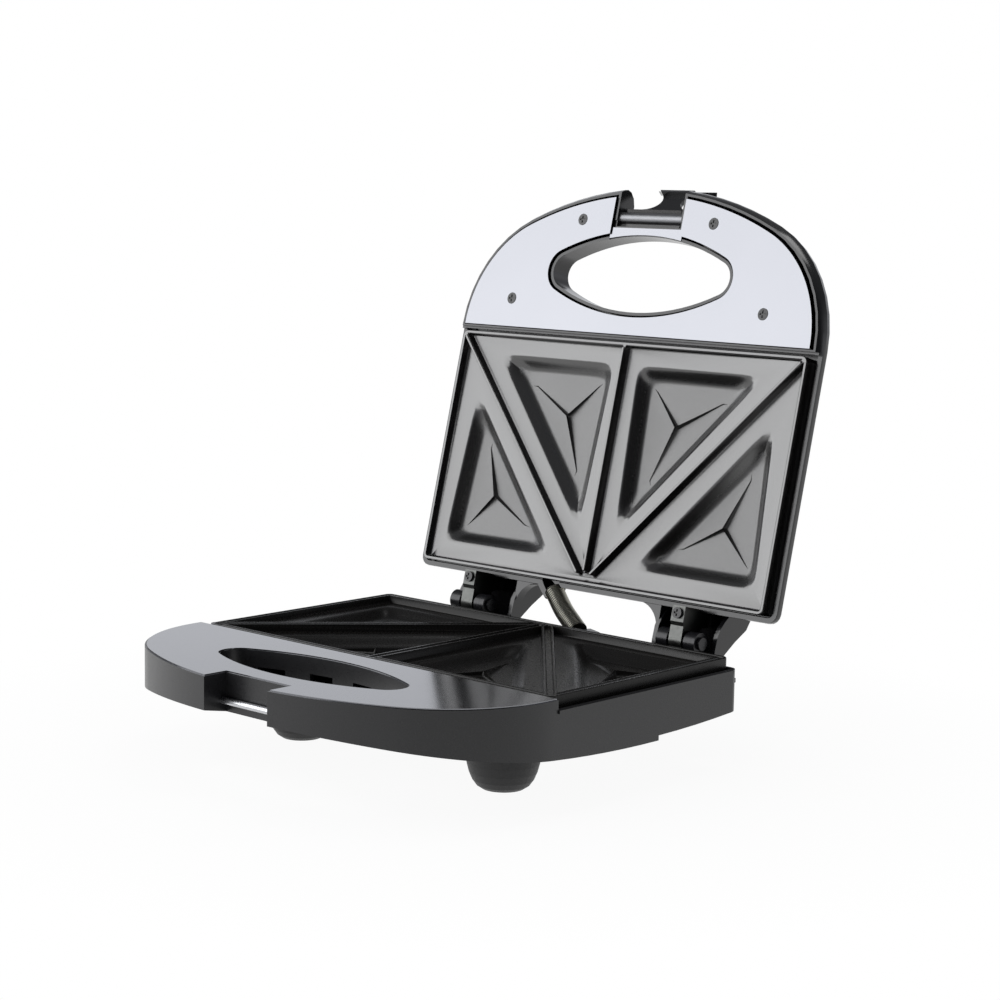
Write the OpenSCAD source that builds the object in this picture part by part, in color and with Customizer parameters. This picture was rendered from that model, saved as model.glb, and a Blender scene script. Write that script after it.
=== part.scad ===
// Sandwich toaster with two square plates cut into four triangle pockets.
// Base on four bowl feet, lid hinged at the back, hooked latch plate at the handle.
// Drawn as in the photograph: lid fully open, latch swung up.
// Millimetres, +Z up, -Y towards the handle, X across.
// Origin on the table, under the middle of the open toaster's outline.

/* [Plates] */
// Width of a cooking plate
plate_w = 216; // [208:1:222]
// Depth of a cooking plate, handle side to hinge side
plate_d = 119.5; // [115:0.5:123]
// Height of the rims and ridges over the flat lands
land_depth = 3.8; // [3:0.1:4.4]
// Depth of a pocket below the lands
pocket_depth = 5; // [4:0.1:5.6]
// Width of a pocket's sloping wall, seen from above
pocket_slope = 6; // [4.5:0.1:6.6]
// Thickness of the cast plate
plate_t = 2; // [1.6:0.1:2.4]
// Width of an upper ridge at its tip
ridge_w = 1.5; // [1.2:0.1:1.9]
// Width of a lower ridge, which has a groove along its top
lower_ridge_w = 5.4; // [5:0.1:6]

/* [Casings] */
// Height of the parting plane over the table
parting_z = 51; // [47:0.5:56]
// How far the casings stand out past the plate's sides
side_margin = 5; // [4.6:0.1:5.6]
// How far the handle reaches past the plate's front edge
handle_reach = 77.65; // [75:0.05:81]
// Thickness of the moulded walls
wall = 2.3; // [1.9:0.1:2.5]
// How far a plate stands out of the lip of its casing
lip_drop = 5; // [4:0.1:6]
// Depth of the base below the parting plane at its lowest line
base_depth = 28.4; // [27.8:0.1:30]
// Radius of the base's curved underside
belly_radius = 728; // [690:1:780]
// Height of the lid's top over the parting plane
lid_height = 34; // [33:0.5:38]

/* [Handle] */
// Radius of the handle's front curve
nose_radius = 181.7; // [175:0.1:190]
// Radius of the handle's corner curves
corner_radius = 62.8; // [58:0.1:66]
// Half the width of the oval hand hole
oval_half_w = 55.4; // [52:0.1:57]
// Half the depth of the oval hand hole
oval_half_d = 18.9; // [17:0.1:19.6]
// Radius of the oval's ends
oval_end_r = 8.5; // [7.5:0.1:9.5]
// Distance from the handle's front to the oval's middle
oval_back = 43.9; // [42.6:0.1:44.4]
// Width of the latch notches
notch_w = 40; // [38:0.5:43]
// Height of the lid's handle over the parting plane
handle_height = 12.6; // [12:0.1:14]

/* [Hinge] */
// Angle of the open lid
open_angle = 103.8; // [95:0.1:105]
// Hinge axis behind the plate's rear edge
hinge_back = 17.7; // [17.2:0.1:19]
// Hinge axis below the parting plane
hinge_drop = 1.2; // [0.6:0.1:1.6]
// Middle of each hinge, in from the casing's side
hinge_inset = 46.5; // [44:0.5:50]
// Outer radius of the hinge knuckles
knuckle_r = 5; // [4.4:0.1:5.2]
// Radius of the hinge pins
hinge_pin_r = 2; // [1.6:0.1:2.4]

/* [Latch] */
// Turn of the latch from hooked to swung up
latch_angle = 114.4; // [100:0.1:118]
// Radius of the catch rod in the base
rod_r = 1.5; // [1.3:0.1:1.6]
// Distance from the latch pin to the catch rod
latch_reach = 18.5; // [18:0.1:19]
// Radius of the latch pin
latch_pin_r = 2.9; // [2.6:0.1:3]

/* [Feet] */
// Distance of the front feet from the centre line
front_foot_x = 64; // [58:0.5:70]
// Distance of the front feet ahead of the plate's middle
front_foot_y = 40; // [34:0.5:44]
// Distance of the rear feet from the centre line
rear_foot_x = 46; // [42:0.5:54]
// Distance of the rear feet in from the plate's rear edge
rear_foot_in = 1.75; // [0:0.25:8]

/* [Inside] */
// Radius of the heating tubes
element_r = 3.2; // [2.8:0.1:3.2]
// Outer radius of the metal conduit between base and lid
conduit_r = 4.8; // [4.4:0.1:4.9]
// Radius of the cable hole in the gland
cable_r = 3.6; // [3:0.1:4]

/* [Hidden] */
$fn = 64;

plate_y = -10.87;
fine = 96;
near = 0.02;

// Main outline, in the plate frame: middle of the plates on the parting plane.
side = plate_w / 2 + side_margin;
plate_front = -plate_d / 2;
plate_rear = plate_d / 2;
front = plate_front - handle_reach;
big_y = front + nose_radius;
small_x = side - corner_radius;
small_y = big_y - sqrt(pow(nose_radius - corner_radius, 2) - pow(small_x, 2));
base_rear = plate_rear + 1.25;
lid_rear = plate_rear + 3.25;
rear_r = 5;
step_y = plate_front - 0.85;
hinge_x = side - hinge_inset;
hinge_y = plate_rear + hinge_back;
hinge_z = -hinge_drop;

rear_foot_y = plate_rear - rear_foot_in;

// Faces that meet at the parting plane stay this far from it.
rim_gap = 0.2;
cut_depth = 60;
deck_z = -0.8;
deck_t = 2.2;
cover_inset = 4.8;
cover_gap = 3.55;
cover_rear = plate_front - cover_gap;
cover_z = 0.2;
cover_t = 1.8;
tongue_t = 0.9;
oval_lip = 2.6;
notch_lip = 2;
rim_z = 1.4;

oval_y = front + oval_back;
oval_side_r = (pow(oval_half_w, 2) + pow(oval_half_d, 2) - 2 * oval_half_w * oval_end_r)
    / (2 * (oval_half_d - oval_end_r));
base_notch_y = front + 13.4;
lid_notch_y = front + 20.4;
notch_wall = 3.4;

ledge_z = 9.2;
ledge_t = 2;
ledge_in = 3.3;
rim_t = 1.6;
plate_r = 3;
boss_x = plate_w / 2 - 8;
boss_rear = plate_rear - 5.4;
boss_front = plate_front + 23.75;
seat_fit = 0.3;
screw_r = 1.5;
screw_fit = 0.1;
head_r = 2.8;
plate_head_r = 2.4;

// Colours of the plain model.
charcoal = [0.24, 0.24, 0.25];
dark_plate = [0.3, 0.3, 0.31];
metal = [0.72, 0.72, 0.74];
mirror_cover = [0.75, 0.76, 0.8];
black = [0.08, 0.08, 0.08];

// Placement helpers.
module base_frame() {
    translate([0, plate_y, parting_z]) children();
}

module lid_frame() {
    base_frame()
        translate([0, hinge_y, hinge_z])
            rotate([-open_angle, 0, 0])
                translate([0, -hinge_y, -hinge_z])
                    children();
}

module both() {
    children();
    mirror([1, 0, 0]) children();
}

module along_x(length, r) {
    rotate([0, 90, 0]) cylinder(h = length, r = r, center = true, $fn = fine);
}

module box(x0, x1, y0, y1, z0, z1) {
    translate([x0, y0, z0]) cube([x1 - x0, y1 - y0, z1 - z0]);
}

// A profile of [y, z] points drawn along X between two places.
module profile_x(points, x0, x1) {
    translate([x0, 0, 0])
        rotate([90, 0, 90])
            linear_extrude(x1 - x0) polygon(points);
}

module rounded_rect(hx, y0, y1, r) {
    translate([-hx + r, y0]) square([2 * (hx - r), y1 - y0]);
    translate([-hx, y0 + r]) square([2 * hx, y1 - y0 - 2 * r]);
    for (x = [-1, 1], y = [y0 + r, y1 - r])
        translate([x * (hx - r), y]) circle(r = r);
}

// Three-arc handle outline with the body behind it, grown by off.
module outline(off, rear, rr) {
    intersection() {
        translate([0, big_y]) circle(r = nose_radius + off, $fn = 200);
        polygon([
            [0, big_y],
            [-2 * small_x, 2 * small_y - big_y],
            [2 * small_x, 2 * small_y - big_y]
        ]);
    }
    for (s = [-1, 1])
        translate([s * small_x, small_y]) circle(r = corner_radius + off, $fn = 128);
    translate([-side - off, small_y]) square([2 * (side + off), rear - rr - small_y]);
    translate([-side - off + rr, small_y]) square([2 * (side + off - rr), rear - small_y]);
    for (s = [-1, 1])
        translate([s * (side + off - rr), rear - rr]) circle(r = rr);
}

// Four-arc oval around the hand hole, grown by off.
module oval(off) {
    cap_x = oval_half_w - oval_end_r;
    drop = oval_side_r - oval_half_d;
    k = (oval_side_r + 5 + off) / drop;
    translate([0, oval_y]) {
        intersection() {
            translate([0, drop]) circle(r = oval_side_r + off, $fn = 200);
            translate([0, -drop]) circle(r = oval_side_r + off, $fn = 200);
            polygon([
                [cap_x, 0], [cap_x * k, drop * (k - 1)], [-cap_x * k, drop * (k - 1)],
                [-cap_x, 0], [-cap_x * k, -drop * (k - 1)], [cap_x * k, -drop * (k - 1)]
            ]);
        }
        for (s = [-1, 1])
            translate([s * cap_x, 0]) circle(r = oval_end_r + off);
    }
}

// Everything above the base's curved underside, raised by up.
module belly(up) {
    translate([0, 0, belly_radius - base_depth])
        rotate([0, 90, 0])
            cylinder(h = 2 * side + 20, r = belly_radius - up, center = true, $fn = 360);
}

function belly_z(y, up) =
    belly_radius - base_depth - sqrt(pow(belly_radius - up, 2) - pow(y, 2));

// Rings of points that follow the handle outline, for the lid's curved shell.
function arc(cx, cy, r, a0, a1, n, skip_first = 0, skip_last = 0) =
    [for (i = [skip_first : n - 1 - skip_last])
        let (a = a0 + (a1 - a0) * i / (n - 1))
            [cx + r * cos(a), cy + r * sin(a)]];

function ring(a, b, nose, corner, rear, rr) =
    let (
        yb = b + nose,
        cx = a - corner,
        cy = yb - sqrt(pow(nose - corner, 2) - pow(cx, 2)),
        tr = atan2(cy - yb, cx)
    )
    concat(
        arc(0, yb, nose, -180 - tr, tr, 17),
        arc(cx, cy, corner, tr, 0, 9, 1, 0),
        arc(a - rr, rear - rr, rr, 0, 90, 5),
        arc(rr - a, rear - rr, rr, 90, 180, 5),
        arc(-cx, cy, corner, 180, 180 - tr, 9, 0, 1)
    );

function lift(points, z) = [for (p = points) [p[0], p[1], z]];

module loft(rings) {
    loft_between([for (k = [len(rings) - 1 : -1 : 0]) rings[k]]);
}

// A closed solid through rings of points, each seen clockwise from the ring before it.
module loft_between(rings) {
    n = len(rings[0]);
    m = len(rings);
    points = [for (r = rings) for (p = r) p];
    sides = [
        for (k = [0 : m - 2]) for (i = [0 : n - 1])
            let (j = (i + 1) % n, a = k * n + i, b = k * n + j)
                for (t = [[a, b, a + n], [b, b + n, a + n]]) t
    ];
    first = [for (i = [n - 1 : -1 : 0]) i];
    last = [for (i = [0 : n - 1]) (m - 1) * n + i];
    polyhedron(points = points, faces = concat([first], sides, [last]), convexity = 4);
}

// Pockets: rounded triangles given by corners as shares of the plate's half size.
pocket_r = 4.6;
corner_steps = 4;
outer_corners = [[0.869, -0.487], [0.914, 0.822], [0.238, 0.815]];
inner_corners = [[0.776, -0.824], [0.071, -0.824], [0.106, 0.561]];

function place(c, s) = [for (p = c) [s * p[0] * plate_w / 2, p[1] * plate_d / 2]];

function unit(v) = v / norm(v);

// Corners of a triangle moved in by d, for corners in either order.
function inset(c, d) =
    [for (i = [0 : 2])
        let (
            p = c[i],
            u = unit(c[(i + 1) % 3] - p),
            v = unit(c[(i + 2) % 3] - p),
            half = acos(u * v) / 2,
            w = unit(u + v)
        )
        p + w * d / sin(half)];

// Outline of a triangle with rounded corners, always counter-clockwise.
function rounded_tri(c, r) =
    let (
        turn = (c[1][0] - c[0][0]) * (c[2][1] - c[0][1]) - (c[1][1] - c[0][1]) * (c[2][0] - c[0][0]),
        q = turn > 0 ? c : [c[0], c[2], c[1]],
        centres = inset(q, r)
    )
    [for (i = [0 : 2])
        let (
            back = unit(q[i] - q[(i + 2) % 3]),
            ahead = unit(q[(i + 1) % 3] - q[i]),
            a0 = atan2(-back[0], back[1]),
            a1 = atan2(-ahead[0], ahead[1]),
            sweep = (a1 - a0 + 720) % 360
        )
        for (k = [0 : corner_steps])
            let (a = a0 + sweep * k / corner_steps)
                centres[i] + r * [cos(a), sin(a)]];

function pocket_ring(c, d, r, z) = lift(rounded_tri(inset(c, d), r), z);

// Pocket as a hollow, from z = 0 down.
module pocket(c, depth) {
    loft([
        pocket_ring(c, pocket_slope + 0.6, pocket_r - 1.6, -depth),
        pocket_ring(c, pocket_slope - 0.6, pocket_r - 1, -depth + 0.9),
        pocket_ring(c, 0.9, pocket_r - 0.4, -0.8),
        pocket_ring(c, 0, pocket_r, 0),
        pocket_ring(c, 0, pocket_r, 0.6)
    ]);
}

// Outside of the cast shell under a pocket.
module pocket_back(c, depth) {
    loft([
        pocket_ring(c, pocket_slope - plate_t * 0.6, pocket_r - 1, -depth),
        pocket_ring(c, -plate_t, pocket_r + 1, -plate_t / 2)
    ]);
}

module pocket_creases(c, depth) {
    mid = (c[0] + c[1] + c[2]) / 3;
    ends = inset(c, pocket_slope + 4.5);
    for (e = ends)
        let (d = unit(e - mid), n = [-d[1], d[0]])
            translate([0, 0, -depth - 0.3])
                linear_extrude(1.1)
                    polygon([mid + n * 0.9 - d * 0.9, e + n * 0.25, e - n * 0.25, mid - n * 0.9 - d * 0.9]);
}

function strip(a, b, w) =
    let (d = unit(b - a), n = [-d[1], d[0]] * w / 2) [a + n, a - n, b - n, b + n];

// Ridges: middle line and the two diagonals, all ending short of the rear rim.
ridge_stop = plate_rear - 7.5;
spread = 4.6;
ridge_swell = 0.15;
ridge_end = 1.45;

module ridge_lines(w) {
    polygon(strip([0, plate_front + 1], [0, ridge_stop], w));
    translate([0, ridge_stop]) circle(r = w / 2 + ridge_swell);
    for (s = [-1, 1]) {
        polygon(strip([s * (plate_w / 2 - 1.4), plate_front + 1.4], [s * spread, ridge_stop + 1.5], w));
        translate([s * spread, ridge_stop + 1.5]) circle(r = w / 2 + ridge_swell);
    }
}

// A plate lying face up with its rim at z = 0; tip is the ridges' height over the rim.
module plate_body(rw, tip, rim_w) {
    difference() {
        union() {
            translate([0, 0, -land_depth - plate_t])
                linear_extrude(plate_t)
                    rounded_rect(plate_w / 2 - 0.5, plate_front + 0.5, plate_rear - 0.5, plate_r);
            translate([0, 0, -ledge_z + rim_gap])
                linear_extrude(ledge_z - rim_gap)
                    difference() {
                        rounded_rect(plate_w / 2, plate_front, plate_rear, plate_r);
                        rounded_rect(plate_w / 2 - rim_w, plate_front + rim_w, plate_rear - rim_w, plate_r - 0.6);
                    }
            translate([0, 0, -land_depth - plate_t / 2])
                linear_extrude(land_depth + plate_t / 2 + tip)
                    intersection() {
                        ridge_lines(rw);
                        rounded_rect(plate_w / 2 - ridge_end, plate_front + ridge_end, plate_rear - ridge_end, plate_r - 0.6);
                    }
            for (s = [-1, 1], c = [outer_corners, inner_corners])
                translate([0, 0, -land_depth]) pocket_back(place(c, s), pocket_depth + plate_t);
            for (x = [-boss_x, boss_x], y = [boss_front, boss_rear])
                translate([x, y, -ledge_z + rim_gap]) cylinder(h = ledge_z - land_depth - plate_t / 2, r = 3.4);
            for (y = [-element_y, element_y])
                box(-5, 5, y - 3, y + 3, saddle_z, -land_depth - plate_t / 2);
            translate([0, thermostat_y, -land_depth - plate_t - 1]) cylinder(h = plate_t, r = 9);
        }
        for (s = [-1, 1], c = [outer_corners, inner_corners])
            translate([0, 0, -land_depth]) pocket(place(c, s), pocket_depth);
        for (x = [-boss_x, boss_x], y = [boss_front, boss_rear])
            translate([x, y, -ledge_z - 1]) cylinder(h = 4.6, r = screw_r + screw_fit);
    }
    for (s = [-1, 1], c = [outer_corners, inner_corners])
        translate([0, 0, -land_depth]) pocket_creases(place(c, s), pocket_depth);
}

// Heating tube loop under a plate, lying in the plane z = element_z.
element_z = -land_depth - pocket_depth - plate_t - 0.7 - element_r;
saddle_z = element_z + element_r + rim_gap + 0.05;
element_x = plate_w / 2 - 24;
element_y = plate_rear - 26.75;
element_bend = 12;
element_gap = 13;
terminal_y = element_y + element_bend + 8.1;
thermostat_y = 8;

module quarter(x, y, a) {
    translate([x, y, 0])
        rotate([0, 0, a])
            rotate_extrude(angle = 90)
                translate([element_bend, 0]) circle(r = element_r, $fn = 32);
}

module rod_between(a, b, r) {
    v = b - a;
    translate(a)
        rotate([0, acos(v[2] / norm(v)), atan2(v[1], v[0])])
            cylinder(h = norm(v), r = r, $fn = 32);
}

module heating_tube() {
    bx = element_x - element_bend;
    by = element_y - element_bend;
    end_y = element_y + element_bend;
    translate([0, 0, element_z]) {
        both() {
            rod_between([-near, -element_y, 0], [bx, -element_y, 0], element_r);
            quarter(bx, -by, -90);
            rod_between([element_x, -by, 0], [element_x, by, 0], element_r);
            quarter(bx, by, 0);
            rod_between([bx, element_y, 0], [element_gap + element_bend, element_y, 0], element_r);
            translate([element_gap + element_bend, element_y + element_bend, 0])
                rotate([0, 0, 180])
                    rotate_extrude(angle = 90)
                        translate([element_bend, 0]) circle(r = element_r, $fn = 32);
            rod_between([element_gap, end_y, 0], [element_gap, end_y + 3, 0], element_r);
            rod_between([element_gap, end_y + 3, 0], [element_gap, end_y + 8, 0], 1.5);
        }
    }
}

// Thin pan that throws the heat back to the plate, hung under the ledge.
pan_z = -ledge_z - ledge_t;
pan_floor = element_z - element_r - 2;
pan_t = 0.6;
pan_x = element_x + element_r + 3.3;
pan_front = -element_y - element_r - 3.8;
pan_rear = element_y + element_bend + 4;
pan_flange = 3.4;

module pan_outline() {
    rounded_rect(pan_x + pan_flange, pan_front - pan_flange, pan_rear + pan_flange, 8);
    for (s = [-1, 1], y = [boss_front, boss_rear])
        translate([s * boss_x, y]) {
            circle(r = 4);
            translate([s > 0 ? -12 : 0, -4]) square([12, 8]);
        }
}

module reflector_pan() {
    difference() {
        union() {
            translate([0, 0, pan_z - pan_t]) linear_extrude(pan_t) pan_outline();
            translate([0, 0, pan_floor])
                linear_extrude(pan_z - pan_floor - pan_t / 2) rounded_rect(pan_x, pan_front, pan_rear, 8);
        }
        translate([0, 0, pan_floor + pan_t])
            linear_extrude(pan_z - pan_floor + 1)
                rounded_rect(pan_x - pan_t, pan_front + pan_t, pan_rear - pan_t, 7.4);
        box(-element_gap - 6, element_gap + 6, pan_rear - 3, pan_rear + 10, element_z - 5, 0);
        for (x = [-boss_x, boss_x], y = [boss_front, boss_rear])
            translate([x, y, pan_z - 2]) cylinder(h = 4, r = screw_r + screw_fit);
    }
}

// Screw with its head down at z = 0 and its shank up along +Z.
module screw(shank, r, head, head_h) {
    difference() {
        union() {
            translate([0, 0, -head_h]) cylinder(h = head_h, r = head);
            translate([0, 0, -near]) cylinder(h = shank, r = r);
        }
        for (a = [0, 90])
            rotate([0, 0, a]) box(-head * 0.62, head * 0.62, -0.45, 0.45, -head_h - 1, -head_h + head_h * 0.5);
    }
}

module plate_screws() {
    for (x = [-boss_x, boss_x], y = [boss_front, boss_rear])
        translate([x, y, pan_z - pan_t]) screw(5.6, screw_r, plate_head_r, 1.3);
}

// Ledge ring that a plate's rim stands on.
module plate_ledge(rear) {
    translate([0, 0, -ledge_z - ledge_t])
        linear_extrude(ledge_t)
            difference() {
                translate([-side + wall / 2, step_y - 1])
                    square([2 * side - wall, rear - wall / 2 - step_y + 1]);
                translate([-boss_x + ledge_in, plate_front + 9.2])
                    square([2 * (boss_x - ledge_in), boss_rear - 3.8 - plate_front - 9.2]);
                for (x = [-boss_x, boss_x], y = [boss_front, boss_rear])
                    translate([x, y]) circle(r = screw_r + screw_fit);
            }
}

// Room that a plate takes in its casing, from the ledge up.
module plate_seat() {
    translate([0, 0, -ledge_z])
        linear_extrude(ledge_z + 9)
            rounded_rect(plate_w / 2 + seat_fit, plate_front - seat_fit, plate_rear + seat_fit, plate_r);
}

// Base casing.
bulge_x = hinge_x + 21.5;
bulge_y = plate_rear + 24.5;
bulge_top = -15;
bulge_bottom = -base_depth + 3.4;
middle_x = 40;
middle_top = -11;
belly_step_y = 5;
belly_step = 2.2;
recess_x0 = hinge_x - 24.5;
recess_x1 = hinge_x + 19.5;
recess_z = -9.4;
gland_z = -18;
gland_x = 28;
vent_w = 13;
vent_pitch = 26;

module belly_shape() {
    intersection() {
        belly(0);
        box(-side - 9, side + 9, front - 9, belly_step_y, -cut_depth, 20);
    }
    intersection() {
        translate([0, 0, belly_step]) belly(0);
        box(-side - 9, side + 9, belly_step_y - near, base_rear + 9, -cut_depth, 20);
    }
}

module inner_walls() {
    linear_extrude(cut_depth) oval(wall);
    box(-notch_w / 2 - notch_wall, notch_w / 2 + notch_wall, front + 1, base_notch_y + wall, 0, 60);
}

// Cross wall behind the handle; it stands on the bottom cover.
module divider() {
    intersection() {
        box(-side + 1, side - 1, step_y - wall, step_y, -cut_depth, deck_z - deck_t / 2);
        belly(bottom_up + bottom_t + seat_fit);
    }
}

// Pillars that the bottom's screws go up into.
pillar_r = 4;
pillar_x = side - wall - pillar_r + 0.4;
pillar_rear_y = 20;
bottom_screw_places = [[-88, -74], [88, -74], [-pillar_x, pillar_rear_y], [pillar_x, pillar_rear_y]];
bottom_up = 2.4;
bottom_t = 2;
bottom_head_r = 2.6;

module pillar_places() {
    for (p = bottom_screw_places)
        translate([p[0], p[1], 0]) children();
}

// Rear bulge under the hinges, higher in the middle where the wiring is.
module bulge(off) {
    intersection() {
        translate([0, 0, bulge_bottom + off]) {
            linear_extrude(bulge_top - bulge_bottom - 2 * off)
                rounded_rect(bulge_x - off, plate_rear - 20, bulge_y - off, 8 - off);
            linear_extrude(middle_top - bulge_bottom - 2 * off)
                rounded_rect(middle_x - off, plate_rear - 20, bulge_y - off, 4 - off);
        }
        box(-side, side, base_rear - wall + 0.2, bulge_y + 1, -cut_depth, 0);
    }
}

base_socket = [3.45, plate_rear + 17.4, -5.9];
base_socket_dir = [-0.84, 0.35, 0.41];
lid_socket = [-21.56, plate_rear + 28.08, 9.16];
lid_socket_dir = [0.747, -0.326, -0.579];

module at_direction(p, d) {
    u = unit(d);
    translate(p) rotate([0, acos(u[2]), atan2(u[1], u[0])]) children();
}

module base_housing() {
    color(charcoal)
        base_frame()
            difference() {
                union() {
                    difference() {
                        intersection() {
                            translate([0, 0, -cut_depth])
                                linear_extrude(cut_depth + deck_z) outline(0, base_rear, rear_r);
                            belly_shape();
                        }
                        translate([0, 0, -cut_depth])
                            linear_extrude(cut_depth + deck_z - deck_t) outline(-wall, base_rear - wall, rear_r - wall);
                    }
                    intersection() {
                        translate([0, 0, -cut_depth]) inner_walls();
                        belly_shape();
                        translate([0, 0, -cut_depth])
                            linear_extrude(cut_depth + deck_z - deck_t / 2) outline(-wall / 2, base_rear - wall / 2, rear_r - wall / 2);
                    }
                    divider();
                    plate_ledge(base_rear);
                    intersection() {
                        for (p = bottom_screw_places)
                            translate([p[0], p[1], -cut_depth])
                                cylinder(h = cut_depth + (p[1] > 0 ? pan_z - 1.4 : deck_z - deck_t / 2), r = pillar_r);
                        belly(bottom_up + bottom_t + 0.05);
                    }
                    translate([0, 0, -lip_drop - 1.4])
                        linear_extrude(1.4)
                            difference() {
                                translate([-side - 0.8, step_y]) square([2 * side + 1.6, base_rear - rear_r - step_y]);
                                translate([-side + 1, step_y - 1]) square([2 * side - 2, base_rear - step_y + 2]);
                            }
                    difference() {
                        bulge(0);
                        bulge(wall);
                    }
                    base_socket_wedge();
                }
                box(-side - 9, side + 9, step_y, bulge_y + 9, -lip_drop, 20);
                translate([-side + wall, step_y, -7]) cube([2 * (side - wall), base_rear - wall - step_y, 20]);
                plate_seat();
                translate([0, 0, -cut_depth]) linear_extrude(2 * cut_depth) oval(0);
                box(-notch_w / 2, notch_w / 2, front - 9, base_notch_y, -cut_depth, 20);
                for (k = [-1.5, -0.5, 0.5, 1.5])
                    box(k * vent_pitch - vent_w / 2, k * vent_pitch + vent_w / 2,
                        oval_y + 4, step_y - wall - 1, -13.6, -8.4);
                both() box(recess_x0, recess_x1, base_rear - wall - 1, bulge_y + 9, recess_z, 20);
                box(4 - middle_x, middle_x - 4, base_rear - wall - 1, base_rear + 0.5,
                    bulge_bottom + wall + 0.5, middle_top - wall - 0.5);
                at_direction(base_socket, base_socket_dir)
                    translate([0, 0, -20]) cylinder(h = 40, r = conduit_r - 1.3);
                translate([gland_x, bulge_y - wall - 5, gland_z])
                    rotate([-90, 0, 0]) cylinder(h = wall + 9, r = gland_r + screw_fit);
                along_catch_rod() along_x(notch_w + 5.2, rod_r + 0.02);
                pillar_places()
                    translate([0, 0, -45]) cylinder(h = 36, r = 1.3 + screw_fit);
                both()
                    for (d = [-hinge_screw_x, hinge_screw_x])
                        translate([hinge_x + d, hinge_y - 1.6, bulge_top - 9]) cylinder(h = 20, r = hinge_screw_r + screw_fit);
            }
}

base_handle_cover_t = 0.6;

module base_handle_cover() {
    color(mirror_cover)
        base_frame()
            translate([0, 0, deck_z])
                linear_extrude(base_handle_cover_t)
                    difference() {
                        intersection() {
                            outline(-0.9, base_rear, rear_r);
                            translate([-side - 5, front - 5]) square([2 * side + 10, step_y - 0.1 - front + 5]);
                        }
                        oval(0.7);
                        translate([-notch_w / 2 - 0.7, front - 5])
                            square([notch_w + 1.4, base_notch_y + 0.7 - front + 5]);
                    }
}

module base_bottom() {
    color(charcoal)
        base_frame()
            difference() {
                intersection() {
                    translate([0, 0, -cut_depth])
                        linear_extrude(cut_depth)
                            outline(-wall - 0.3, base_rear - wall - 0.3, rear_r - wall);
                    belly(bottom_up);
                }
                belly(bottom_up + bottom_t);
                translate([0, 0, -cut_depth]) linear_extrude(2 * cut_depth) oval(wall + 0.3);
                box(-notch_w / 2 - notch_wall - 0.3, notch_w / 2 + notch_wall + 0.3,
                    front - 9, base_notch_y + wall + 0.3, -cut_depth, 20);
                pillar_places()
                    translate([0, 0, -cut_depth]) cylinder(h = cut_depth, r = 1.3 + screw_fit);
                stud_places(0)
                    translate([0, 0, -cut_depth]) cylinder(h = cut_depth, r = foot_stud_r + 0.05);
                for (k = [-4 : 4])
                    box(k * 9 - 2, k * 9 + 2, -34, 8, -cut_depth, 0);
            }
}

module bottom_screws() {
    color(metal)
        base_frame()
            pillar_places_at_bottom() screw(9, 1.3, bottom_head_r, 1.2);
}

module pillar_places_at_bottom() {
    for (p = bottom_screw_places)
        translate([p[0], p[1], belly_z(abs(p[1]) - bottom_head_r - 0.6, bottom_up) - 0.05]) children();
}

// Feet: shallow bowls with a small pad under each.
foot_stud_r = 3;
foot_bottom = -parting_z;
foot_profile = [
    [0, 0], [3.3, 0], [3.3, 0.8], [9.3, 0.8], [11.7, 2.4], [13.5, 4.9],
    [14.9, 8.2], [15.9, 12], [16.6, 16.4], [17, 21], [17, 27], [0, 27]
];

module foot_places(which) {
    if (which != 2)
        for (s = [-1, 1]) translate([s * front_foot_x, -front_foot_y, 0]) children();
    if (which != 1)
        for (s = [-1, 1]) translate([s * rear_foot_x, rear_foot_y, 0]) children();
}

// Studs stand under the feet; the rear ones come forward, clear of the rear wall.
stud_y = base_rear - wall - 0.3 - foot_stud_r - 2.2;

module stud_places(which) {
    if (which != 2) foot_places(1) children();
    if (which != 1)
        for (s = [-1, 1]) translate([s * rear_foot_x, stud_y, 0]) children();
}

module foot() {
    translate([0, 0, foot_bottom]) rotate_extrude() polygon(foot_profile);
}

module front_feet() {
    color(black)
        base_frame() {
            difference() {
                foot_places(1) foot();
                belly(bottom_up - 0.02);
            }
            foot_places(1)
                translate([0, 0, -27.2]) cylinder(h = 5, r = foot_stud_r);
        }
}

module rear_feet() {
    color(black)
        base_frame() {
            difference() {
                foot_places(2) foot();
                belly(bottom_up - 0.02);
                box(-side, side, base_rear - wall - 0.6, bulge_y + 9, bulge_bottom - 0.05, 0);
                box(-side, side, base_rear - wall - 0.6, base_rear + 20, belly_z(base_rear, 0) - 1.2, 0);
            }
            stud_places(2)
                translate([0, 0, -26.2]) cylinder(h = 5.4, r = foot_stud_r);
        }
}

// Cooking plates.
module lower_plate() {
    color(dark_plate)
        base_frame()
            translate([0, 0, -rim_gap])
                difference() {
                    plate_body(lower_ridge_w, 0, 4.2);
                    translate([0, 0, -1.3])
                        linear_extrude(5)
                            difference() {
                                ridge_lines(lower_ridge_w - 2.2);
                                difference() {
                                    square([2 * plate_w, 2 * plate_d], center = true);
                                    square([plate_w - 4.2, plate_d - 4.2], center = true);
                                }
                            }
                    translate([0, 0, -0.95])
                        linear_extrude(5)
                            difference() {
                                rounded_rect(plate_w / 2 - 1.1, plate_front + 1.1, plate_rear - 1.1, plate_r - 0.5);
                                rounded_rect(plate_w / 2 - 3.1, plate_front + 3.1, plate_rear - 3.1, plate_r - 1);
                            }
                }
}

module upper_plate() {
    color(dark_plate)
        lid_frame()
            mirror([0, 0, 1])
                translate([0, 0, -rim_gap]) plate_body(ridge_w, 0.9, rim_t);
}

module lower_plate_screws() {
    color(metal) base_frame() plate_screws();
}

module upper_plate_screws() {
    color(metal) lid_frame() mirror([0, 0, 1]) plate_screws();
}

module lower_element() {
    color(metal) base_frame() heating_tube();
}

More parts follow.
